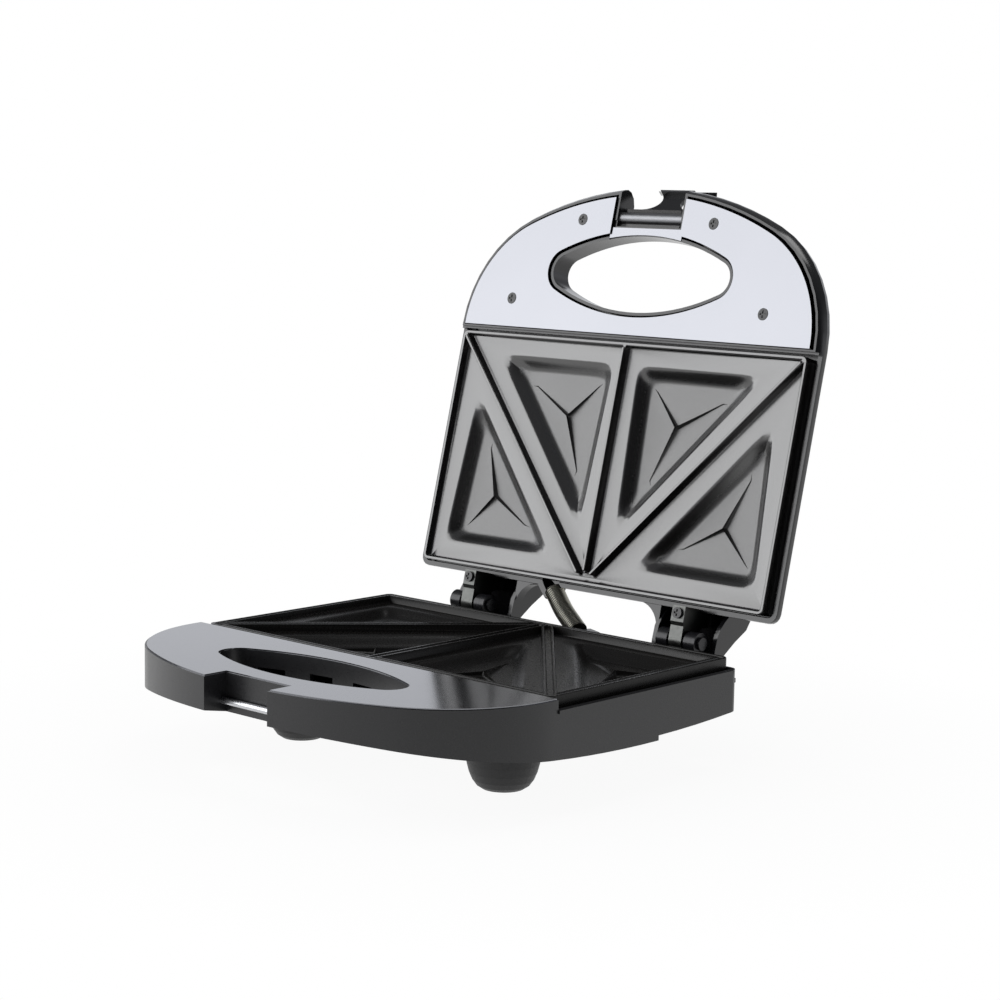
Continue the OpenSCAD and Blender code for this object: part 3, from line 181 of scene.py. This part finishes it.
# Metallised and lacquered trim: a smoked mirror, grey and slightly soft.
smoked_mirror = grainy("smoked_mirror_trim", ("#78797d", "#7e7f83"), (0.11, 0.15), 1.2, 0.0,
                       metal=1.0, cloud_mm=90)
# Non-stick coat on cast aluminium: near black, silky, duller in the pockets; its strong sheen is a
# painted highlight, from a raised IOR that makes the soft box show bright on it.
nonstick = grainy("nonstick_coated_aluminium", ("#100f0f", "#151414"), (0.19, 0.26), 0.7, 0.004,
                  cloud_mm=60, ior=1.95, hollow=0.2)
# The same coat on the lower plate as a shaded copy, matched to the photograph: its lower IOR and
# rougher gloss are painted shade, leaving little sheen at a low angle.
nonstick_lower = grainy("nonstick_aluminium_painted_low_sheen", ("#11100f", "#161514"), (0.24, 0.31), 0.7, 0.006,
                        cloud_mm=60, ior=1.27)
# Moulded feet and the cable's bushing, black rubber: dull, with a faint broad highlight.
foot_rubber = grainy("black_foot_rubber", ("#131314", "#181819"), (0.45, 0.6), 0.7, 0.02)
# Zinc-plated pressed steel of the lid's hinge brackets, dulled: dark grey with a metal's shine.
zinc_steel = grainy("zinc_plated_steel", ("#4a4b4a", "#5a5b59"), (0.3, 0.42), 1.2, 0.01,
                    metal=1.0, cloud_mm=8)
# Black oxide on the cover's and the lid's screws, matt enough to stay dark in a bright room.
dark_screw = grainy("black_oxide_screw", ("#0f0f11", "#17171a"), (0.30, 0.42), 0.5, 0.01, cloud_mm=4)
# Turned steel of the latch's pin: a dull grey bar, with tool marks across its length.
dull_pin = grainy("turned_steel_pin", ("#77787b", "#828386"), (0.38, 0.48), 0.5, 0.006,
                  metal=1.0, stretch=(6, 1, 1))
# Black oxide on the base's brackets and the hinge pins: black with a thin metallic shine.
black_oxide = grainy("black_oxide_steel", ("#18181a", "#202024"), (0.24, 0.36), 0.7, 0.01,
                     metal=0.3, cloud_mm=6)
# Nickel plate on the catch rod, most of the screws and the thermostat: bright pale grey.
plated_rod = grainy("nickel_plated_rod", ("#b9babd", "#c6c7ca"), (0.24, 0.34), 0.8, 0.004,
                    metal=1.0, cloud_mm=10)
# Sheathed heating tube, straw-grey from heat.
element_steel = grainy("heat_tinted_sheath", ("#6f6a62", "#847c70"), (0.35, 0.5), 0.8, 0.01,
                       metal=1.0, cloud_mm=15)
# Rolled sheet of the heat shields: pale, with fine lines along the rolling.
plain_sheet = grainy("rolled_steel_sheet", ("#b4b5b5", "#bfc0c0"), (0.28, 0.38), 0.9, 0.006,
                     metal=1.0, stretch=(1, 8, 1))
# Wound steel strip of the conduit: warm grey, uneven from one turn to the next.
strip_metal = grainy("wound_steel_strip", ("#8e8c82", "#a5a399"), (0.26, 0.4), 0.8, 0.01,
                     metal=1.0, cloud_mm=5)
# Unglazed steatite of the fuse and the terminal block: cream and dry.
steatite = grainy("unglazed_steatite", ("#d8d4c9", "#e2dfd6"), (0.6, 0.75), 0.5, 0.02)
# Silicone sleeve of the leads: off-white and dull.
silicone = grainy("silicone_lead_sleeve", ("#cfcabf", "#d8d4ca"), (0.45, 0.55), 0.5, 0.01)
# Acrylic lenses, red and green: smooth and glassy.
red_lens = grainy("red_lens_acrylic", ("#a81912", "#b3221a"), (0.05, 0.09), 30, 0.003, coat=0.5)
green_lens = grainy("green_lens_acrylic", ("#1d8a3a", "#249443"), (0.05, 0.09), 30, 0.003, coat=0.5)

finish_of = {
    "base_housing": satin_abs, "lid_housing": gloss_abs, "latch": gloss_abs, "base_bottom": matt_abs,
    "base_handle_cover": smoked_mirror, "lid_handle_cover": smoked_mirror,
    "front_feet": foot_rubber, "rear_feet": foot_rubber, "cable_gland": foot_rubber,
    "lower_plate": nonstick_lower, "upper_plate": nonstick,
    "lower_element": element_steel, "upper_element": element_steel,
    "lower_reflector": plain_sheet, "upper_reflector": plain_sheet,
    "thermostat": plated_rod, "catch_rod": plated_rod, "latch_pin": dull_pin,
    "hinge_pin_left": black_oxide, "hinge_pin_right": black_oxide,
    "thermal_fuse": steatite, "terminal_block": steatite,
    "base_wires": silicone, "lid_wires": silicone, "conduit_wires": silicone,
    "conduit": strip_metal,
    "base_hinge_left": black_oxide, "base_hinge_right": black_oxide,
    "lid_hinge_left": zinc_steel, "lid_hinge_right": zinc_steel,
    "cover_screws": dark_screw, "lid_hinge_screws": dark_screw,
    "bottom_screws": plated_rod, "lower_plate_screws": plated_rod, "upper_plate_screws": plated_rod,
    "base_hinge_screws": plated_rod, "power_lens": red_lens, "ready_lens": green_lens,
}
for name, finish in finish_of.items():
    slots = nodes[name].data.materials
    if not len(slots):
        slots.append(finish)
    for i in range(len(slots)):
        slots[i] = finish


# Casings: the solid's own surface, with its curved runs shaded as one.
CASING_SHARP, PLATE_SHARP = math.radians(24), math.radians(32)


def smooth_casing(name, body):
    mesh = nodes[name].data.copy()
    work = bmesh.new()
    work.from_mesh(mesh)
    bmesh.ops.remove_doubles(work, verts=work.verts, dist=1e-6)
    work.to_mesh(mesh)
    work.free()
    if "custom_normal" in mesh.attributes:
        mesh.attributes.remove(mesh.attributes["custom_normal"])
    mesh.shade_smooth()
    mesh.set_sharp_from_angle(angle=CASING_SHARP)
    piece = put(name + "_skin", mesh)
    weigh = piece.modifiers.new("flat faces stay flat", "WEIGHTED_NORMAL")
    weigh.keep_sharp = True
    weigh.weight = 100
    piece.data = applied(piece, weigh)
    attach(piece, body)
    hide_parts(name)


smooth_casing("lid_housing", "lid")
smooth_casing("base_housing", "base")


# Cooking plates, in millimetres in the plate frame: a height over every point of the plate.
PLATE_W, PLATE_D, PLATE_R = 216.0, 119.5, 3.0
# The lands' depth below the rim, the pockets' below the lands, and the gap from rim to parting plane.
LAND, POCKET, RIM_GAP = 3.8, 5.0, 0.2
# Sheet thickness, and the width and depth of the plate's outer skirt.
SHEET, SKIRT_W, SKIRT_D = 2.0, 1.6, 9.0
POCKET_CORNERS = (
    ((0.869, -0.487), (0.914, 0.822), (0.238, 0.815)),
    ((0.776, -0.824), (0.071, -0.824), (0.106, 0.561)),
)
# Softness of a pocket's corners, its wall's run, and how far in from its triangle the surface has
# lines; the wall begins at the first of them.
CORNER_SOFT, WALL_RUN, LEVELS = 2.3, 7.9, (-0.7, -0.2, 0.4, 1.2, 2.2, 3.4, 4.6, 5.6, 6.4, 7.2)
# The creases on a floor: how far in they stop, and their height and width at the middle.
CREASE_IN, CREASE_H, CREASE_W = 9.4, 0.85, 1.0
# The groove along the lower plate's ridges: half width of its floor, half width of its mouth, depth.
GROOVE_FLOOR, GROOVE_MOUTH, GROOVE_D = 1.2, 1.7, 1.3
# How far in from the edge the groove begins, and the upper plate's thin ridges, and the height
# below the rim that those ridges keep to further out.
GROOVE_IN, THIN_RIDGE_IN, THIN_RIDGE_UNDER = 2.0, 2.3, 0.1
RIDGE_STOP = PLATE_D / 2 - 7.5
RIDGES = (
    ((0, 1 - PLATE_D / 2), (0, RIDGE_STOP)),
    ((PLATE_W / 2 - 1.4, 1.4 - PLATE_D / 2), (4.6, RIDGE_STOP + 1.5)),
    ((1.4 - PLATE_W / 2, 1.4 - PLATE_D / 2), (-4.6, RIDGE_STOP + 1.5)),
)


def pockets():
    for s in (-1, 1):
        for shares in POCKET_CORNERS:
            yield np.array([(s * x * PLATE_W / 2, y * PLATE_D / 2) for x, y in shares])


def depth_in(p, c):
    """How far points lie inside a triangle whose corners are rounded."""
    mid, total = c.mean(axis=0), 0
    for i in range(3):
        a, b = c[i], c[(i + 1) % 3]
        n = np.array((a[1] - b[1], b[0] - a[0])) / np.hypot(*(b - a))
        n = n if (mid - a) @ n > 0 else -n
        total = total + np.exp(-((p - a) @ n) / CORNER_SOFT)
    return -CORNER_SOFT * np.log(total)


def along(p, a, b):
    """Distance to a segment, and how far along it, from 0 to 1."""
    a, b = np.array(a, float), np.array(b, float)
    t = np.clip((p - a) @ (b - a) / ((b - a) @ (b - a)), 0, 1)
    return np.hypot(*(p - a - t[:, None] * (b - a)).T), t


def edge_depth(p):
    """How far points lie inside the plate's rounded outline."""
    q = np.abs(p) - (PLATE_W / 2 - PLATE_R, PLATE_D / 2 - PLATE_R)
    return PLATE_R - np.hypot(*np.maximum(q, 0).T) - np.minimum(q.max(axis=1), 0)


def heading(a, b):
    """Unit vectors along a segment and across it."""
    u = (b - a) / np.hypot(*(b - a))
    return u, np.array((-u[1], u[0]))


def creases(c):
    """The three lines on a pocket's floor, from its middle towards its corners."""
    mid = c.mean(axis=0)
    for i in range(3):
        lo, hi = 0.0, 1.0
        for _ in range(30):
            k = (lo + hi) / 2
            inside = depth_in((mid + (c[i] - mid) * k)[None], c)[0] > CREASE_IN
            lo, hi = (k, hi) if inside else (lo, k)
        yield mid, mid + (c[i] - mid) * lo


def plate_height(p, ridge, rim, groove):
    z = np.full(len(p), -LAND)
    for c in pockets():
        t = np.clip((depth_in(p, c) - LEVELS[0]) / WALL_RUN, 0, 1)
        z -= POCKET * t * t * (3 - 2 * t)
        for a, b in creases(c):
            away, t = along(p, a, b)
            z += (CREASE_H - 0.5 * t) * np.clip(1 - away / (CREASE_W - 0.7 * t), 0, 1)
    away = np.min([along(p, a, b)[0] for a, b in RIDGES], axis=0)
    z = np.maximum(z, np.interp(away, *ridge, right=-LAND - POCKET))
    inside = edge_depth(p)
    z = np.maximum(z, np.interp(inside, *rim, right=-LAND - POCKET))
    if groove:
        cut = np.interp(away, (0, GROOVE_FLOOR, GROOVE_MOUTH), (-GROOVE_D, -GROOVE_D, 0))
        z = np.where((away < GROOVE_MOUTH) & (inside > GROOVE_IN), np.minimum(z, cut), z)
    else:
        # The thin ridges stop short of the other plate's rim.
        z = np.where(inside < THIN_RIDGE_IN, np.minimum(z, -THIN_RIDGE_UNDER), z)
    return z


def plate_lines(ridge, rim, groove):
    """Lines that the plate's surface bends along."""
    points, edges = [], []

    def line(p, closed=False):
        n = len(points)
        points.extend(p)
        edges.extend((n + i, n + i + 1) for i in range(len(p) - 1))
        if closed:
            edges.append((n + len(p) - 1, n))

    for d in rim[0]:
        r, hx, hy = max(PLATE_R - d, 0.2), PLATE_W / 2 - d, PLATE_D / 2 - d
        loop = []
        for k, (sx, sy) in enumerate(((1, 1), (-1, 1), (-1, -1), (1, -1))):
            for i in range(6):
                a = math.radians(90 * k + 18 * i)
                loop.append((sx * (hx - r) + r * math.cos(a), sy * (hy - r) + r * math.sin(a)))
        line(loop, True)
    for a, b in RIDGES:
        a, b = np.array(a), np.array(b)
        u, n = heading(a, b)
        for d in (GROOVE_FLOOR, GROOVE_MOUTH) * groove + ridge[0][1:]:
            end = [b + d * (n * math.cos(k) + u * math.sin(k)) for k in np.linspace(0, math.pi, 9)]
            line([a + n * d] + end + [a - n * d])
    turn = np.linspace(0, 2 * math.pi, 96, endpoint=False)
    rays = np.stack((np.cos(turn), np.sin(turn)), axis=1)
    for c in pockets():
        mid = c.mean(axis=0)
        for level in LEVELS:
            lo, hi = np.zeros(len(rays)), np.full(len(rays), 120.0)
            for _ in range(40):
                k = (lo + hi) / 2
                deep = depth_in(mid + rays * k[:, None], c) > level
                lo, hi = np.where(deep, k, lo), np.where(deep, hi, k)
            line(list(mid + rays * lo[:, None]), True)
        for a, b in creases(c):
            n = heading(a, b)[1]
            line([a, b])
            for s in (-1, 1):
                line([a + s * n, b + s * n * 0.3])
    return points, edges


def make_plate(name, finish, ridge, rim, groove, place, flip):
    """A closed sheet under the plate's height field; place turns its points into the scene's."""
    points, edges = plate_lines(ridge, rim, groove)
    limit = np.array((PLATE_W / 2, PLATE_D / 2))
    points = [np.clip(p, -limit, limit) for p in points]
    flat, _, faces, *_ = delaunay_2d_cdt([Vector(p) for p in points], edges, [], 0, 1e-4)
    p = np.array([tuple(v) for v in flat])
    top = plate_height(p, ridge, rim, groove)
    under = np.where(edge_depth(p) < SKIRT_W, -SKIRT_D, np.minimum(top, -LAND) - SHEET)
    sides = dict.fromkeys((f[i], f[(i + 1) % 3]) for f in faces for i in range(3))
    n = len(p)
    solid = [tuple(f) for f in faces] + [tuple(n + i for i in reversed(f)) for f in faces]
    solid += [(a, n + a, n + b, b) for a, b in sides if (b, a) not in sides]
    if flip:
        solid = [tuple(reversed(f)) for f in solid]
    spots = [place(x, y, z) for level in (top, under) for (x, y), z in zip(p, level)]
    mesh = bpy.data.meshes.new(name)
    mesh.from_pydata(spots, [], solid)
    mesh.validate()
    mesh.shade_smooth()
    mesh.set_sharp_from_angle(angle=PLATE_SHARP)
    mesh.materials.append(finish)
    # The power keeps the extra roughness to the pockets' floors, so their walls stay glossy.
    hollow = np.clip((-LAND - top) / POCKET, 0, 1) ** 5
    values = mesh.attributes.new("hollow", "FLOAT", "POINT")
    values.data.foreach_set("value", np.concatenate((hollow, np.zeros(n))))
    return put(name, mesh)


def ridge_profile(half, tip):
    """Distances from a ridge's middle, and the heights there."""
    return ((0, half - 0.3, half, half + 0.3, half + 0.6, half + 1.3),
            (tip, tip, tip - 0.3, 0.9 - LAND, 0.3 - LAND, -LAND))


# Each rim is a row of distances in from the edge, and the heights there.
upper = make_plate(
    "upper_plate_skin", nonstick, ridge_profile(0.75, 0.9),
    ((0, 0.3, 1.3, 1.6, 1.9, 2.2, 2.8), (-0.3, 0, 0, -0.3, 0.9 - LAND, 0.3 - LAND, -LAND)),
    False, lambda x, y, z: lid_point(x, y, RIM_GAP - z), True)
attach(upper, "lid")
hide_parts("upper_plate")
lower = make_plate(
    "lower_plate_skin", nonstick_lower, ridge_profile(2.7, 0),
    ((0, 0.3, 0.9, 1.2, 1.5, 2.8, 3.1, 3.4, 3.9, 4.2, 4.5, 4.8, 5.4),
     (-0.3, 0, 0, -0.2, -0.95, -0.95, -0.2, 0, 0, -0.3, 0.9 - LAND, 0.3 - LAND, -LAND)),
    True, lambda x, y, z: plate_point(x, y, z - RIM_GAP), False)
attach(lower, "base")
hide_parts("lower_plate")


# Conduit: wound steel strip round a bore, on the route of the solid it stands for.
CONDUIT_R, RIB_PITCH, RIB_DEPTH, STEPS_PER_RIB, TUBE_SIDES = 4.8, 1.25, 0.55, 8, 32
PLATE_REAR = PLATE_D / 2
LID_END = Vector((-21.56, PLATE_REAR + 28.08, 9.16))
LID_WAY = Vector((0.747, -0.326, -0.579)).normalized()
BASE_END = Vector((3.45, PLATE_REAR + 17.4, -5.9))
BASE_WAY = Vector((-0.84, 0.35, 0.41)).normalized()
# The bend's pull at each end, as a share of its span, its steps, and how far out of a socket it starts.
BEND_PULL, BEND_STEPS, BEND_OUT = 0.36, 40, 2


def conduit_route():
    straight = 2 * CONDUIT_R
    a, b = LID_END + LID_WAY * straight, BASE_END + BASE_WAY * straight
    pull = (b - a).length * BEND_PULL
    corners = (a, a + LID_WAY * pull, b + BASE_WAY * pull, b)
    bend = []
    for i in range(BEND_STEPS + 1):
        t = i / BEND_STEPS
        share = ((1 - t) ** 3, 3 * (1 - t) ** 2 * t, 3 * (1 - t) * t * t, t ** 3)
        bend.append(sum((c * k for c, k in zip(corners, share)), Vector()))
    return [LID_END] + bend + [BASE_END]


def ribbed_tube_tree(finish):
    """Geometry Nodes: a curve becomes a tube whose radius waves along its length."""
    tree = bpy.data.node_groups.new("ribbed_tube", "GeometryNodeTree")
    faces = tree.interface
    faces.new_socket("Route", in_out="INPUT", socket_type="NodeSocketGeometry")
    sizes = {}
    for label, value in (("Radius", CONDUIT_R), ("Rib pitch", RIB_PITCH), ("Rib depth", RIB_DEPTH),
                         ("Step", RIB_PITCH / STEPS_PER_RIB)):
        socket = faces.new_socket(label, in_out="INPUT", socket_type="NodeSocketFloat")
        sizes[socket.identifier] = value / 1000
    faces.new_socket("Tube", in_out="OUTPUT", socket_type="NodeSocketGeometry")
    given = add(tree, "NodeGroupInput").outputs
    even = add(tree, "GeometryNodeResampleCurve", {"Curve": given["Route"], "Length": given["Step"]},
               mode="LENGTH")
    place = add(tree, "GeometryNodeSplineParameter")
    turns = add(tree, "ShaderNodeMath", {0: place.outputs["Length"], 1: given["Rib pitch"]},
                operation="DIVIDE")
    angle = add(tree, "ShaderNodeMath", {0: turns.outputs[0], 1: 2 * math.pi}, operation="MULTIPLY")
    wave = add(tree, "ShaderNodeMath", {0: angle.outputs[0]}, operation="COSINE")
    hollow = add(tree, "ShaderNodeMath", {0: wave.outputs[0], 1: -0.5, 2: 0.5},
                 operation="MULTIPLY_ADD")
    dip = add(tree, "ShaderNodeMath", {0: hollow.outputs[0], 1: given["Rib depth"]},
              operation="MULTIPLY")
    radius = add(tree, "ShaderNodeMath", {0: given["Radius"], 1: dip.outputs[0]},
                 operation="SUBTRACT")
    round_one = add(tree, "GeometryNodeCurvePrimitiveCircle", {"Resolution": TUBE_SIDES, "Radius": 1.0})
    tube = add(tree, "GeometryNodeCurveToMesh",
               {"Curve": even.outputs[0], "Profile Curve": round_one.outputs[0],
                "Scale": radius.outputs[0], "Fill Caps": True})
    real = add(tree, "GeometryNodeRealizeInstances", {0: tube.outputs[0]})
    coat = add(tree, "GeometryNodeSetMaterial", {"Geometry": real.outputs[0], "Material": finish})
    add(tree, "NodeGroupOutput", {0: coat.outputs[0]})
    return tree, sizes


def make_conduit():
    spots = conduit_route()
    data = bpy.data.curves.new("conduit_route", "CURVE")
    data.dimensions = "3D"
    spline = data.splines.new("POLY")
    spline.points.add(len(spots) - 1)
    for point, spot in zip(spline.points, spots):
        point.co = (*plate_point(*spot), 1)
    route = put("conduit_route", data)
    tree, sizes = ribbed_tube_tree(strip_metal)
    step = route.modifiers.new("ribs", "NODES")
    step.node_group = tree
    for socket, value in sizes.items():
        step[socket] = value
    mesh = applied(route, step)
    bpy.data.objects.remove(route)
    mesh.shade_smooth()
    return put("conduit_ribbed", mesh)


conduit = make_conduit()
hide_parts("conduit")
leads = put("conduit_leads", nodes["conduit_wires"].data.copy())
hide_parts("conduit_wires")
for piece in (conduit, leads):
    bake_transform(piece)


# Studio: white paper floor, white surroundings, two soft lamps.
def lamp(name, place, target, size, power):
    data = bpy.data.lights.new(name, "AREA")
    data.shape = "RECTANGLE"
    data.size, data.size_y = size
    data.energy = power
    o = put(name, data)
    o.location = place
    o.rotation_euler = (Vector(target) - Vector(place)).to_track_quat("-Z", "Y").to_euler()


def rect(name, corners, m):
    mesh = bpy.data.meshes.new(name)
    mesh.from_pydata(corners, [], [tuple(range(len(corners)))])
    mesh.materials.append(m)
    o = put(name, mesh)


def make_world():
    """White to the eye, an even soft light, and a room of its own for gloss."""
    world = bpy.data.worlds.new("studio")
    scene.world = world
    world.use_nodes = True
    t = world.node_tree
    t.nodes.remove(t.nodes["Background"])
    path = add(t, "ShaderNodeLightPath").outputs
    seen = add(t, "ShaderNodeMath", {0: path["Is Camera Ray"], 1: path["Is Transmission Ray"]},
               operation="MAXIMUM")
    # What gloss sees: white at the back and below, a dim ceiling, a dark room on the camera's side.
    at = add(t, "ShaderNodeTexCoord").outputs["Generated"]
    towards = add(t, "ShaderNodeVectorMath", {0: at, 1: (0.79, -0.59, 0.16)}, operation="DOT_PRODUCT")
    room = add(t, "ShaderNodeMapRange",
               {0: towards.outputs["Value"], 1: 0.45, 2: 0.85, 3: 1.0, 4: 0.05},
               interpolation_type="SMOOTHSTEP")
    parts = add(t, "ShaderNodeSeparateXYZ", {0: at})
    ceiling = add(t, "ShaderNodeMapRange",
                  {0: parts.outputs["Z"], 1: 0.25, 2: 0.6, 3: 1.0, 4: 0.22},
                  interpolation_type="SMOOTHSTEP")
    level = add(t, "ShaderNodeMath", {0: room.outputs[0], 1: ceiling.outputs[0]}, operation="MULTIPLY")
    shine = add(t, "ShaderNodeBackground", {"Color": srgb("#f4f6fb"), "Strength": level.outputs[0]})
    soft = add(t, "ShaderNodeBackground", {"Color": srgb("#e8ebf0"), "Strength": 0.4})
    white = add(t, "ShaderNodeBackground", {"Color": (1, 1, 1, 1), "Strength": 1.0})
    light = add(t, "ShaderNodeMixShader",
                {0: path["Is Glossy Ray"], 1: soft.outputs[0], 2: shine.outputs[0]})
    both = add(t, "ShaderNodeMixShader", {0: seen.outputs[0], 1: light.outputs[0], 2: white.outputs[0]})
    t.links.new(t.nodes["World Output"].inputs[0], both.outputs[0])


def make_floor():
    """White paper that keeps the contact shadow near the toaster and is plain white further out."""
    m, t, shader = material("white_floor_paper", "#e6e6e6", 0.9)
    shader.inputs["Specular IOR Level"].default_value = 0.0
    glow = add(t, "ShaderNodeEmission", {"Color": (1, 1, 1, 1), "Strength": 1.0})
    at = add(t, "ShaderNodeTexCoord")
    away = add(t, "ShaderNodeVectorMath", {0: at.outputs["Object"]}, operation="LENGTH")
    fade = add(t, "ShaderNodeMapRange", {0: away.outputs["Value"], 1: 0.12, 2: 0.3, 3: 0.94, 4: 1.0})
    path = add(t, "ShaderNodeLightPath").outputs
    eye = add(t, "ShaderNodeMath", {0: path["Is Camera Ray"], 1: path["Is Glossy Ray"]},
              operation="MAXIMUM")
    share = add(t, "ShaderNodeMath", {0: eye.outputs[0], 1: fade.outputs[0]}, operation="MULTIPLY")
    paper = add(t, "ShaderNodeMixShader",
                {0: share.outputs[0], 1: shader.outputs[0], 2: glow.outputs[0]})
    t.links.new(t.nodes["Material Output"].inputs[0], paper.outputs[0])
    rect("floor", [(-8, -8, 0), (8, -8, 0), (8, 8, 0), (-8, 8, 0)], m)


make_world()
make_floor()
# One large soft box at the front left, mirrored by the lid, and a soft one overhead.
lamp("soft_box", (-1.15, -1.2, 0.75), (0, 0, 0.15), (2.0, 1.5), 28)
lamp("top_box", (0.2, 0.5, 1.6), (0, 0, 0.1), (0.7, 0.7), 6)
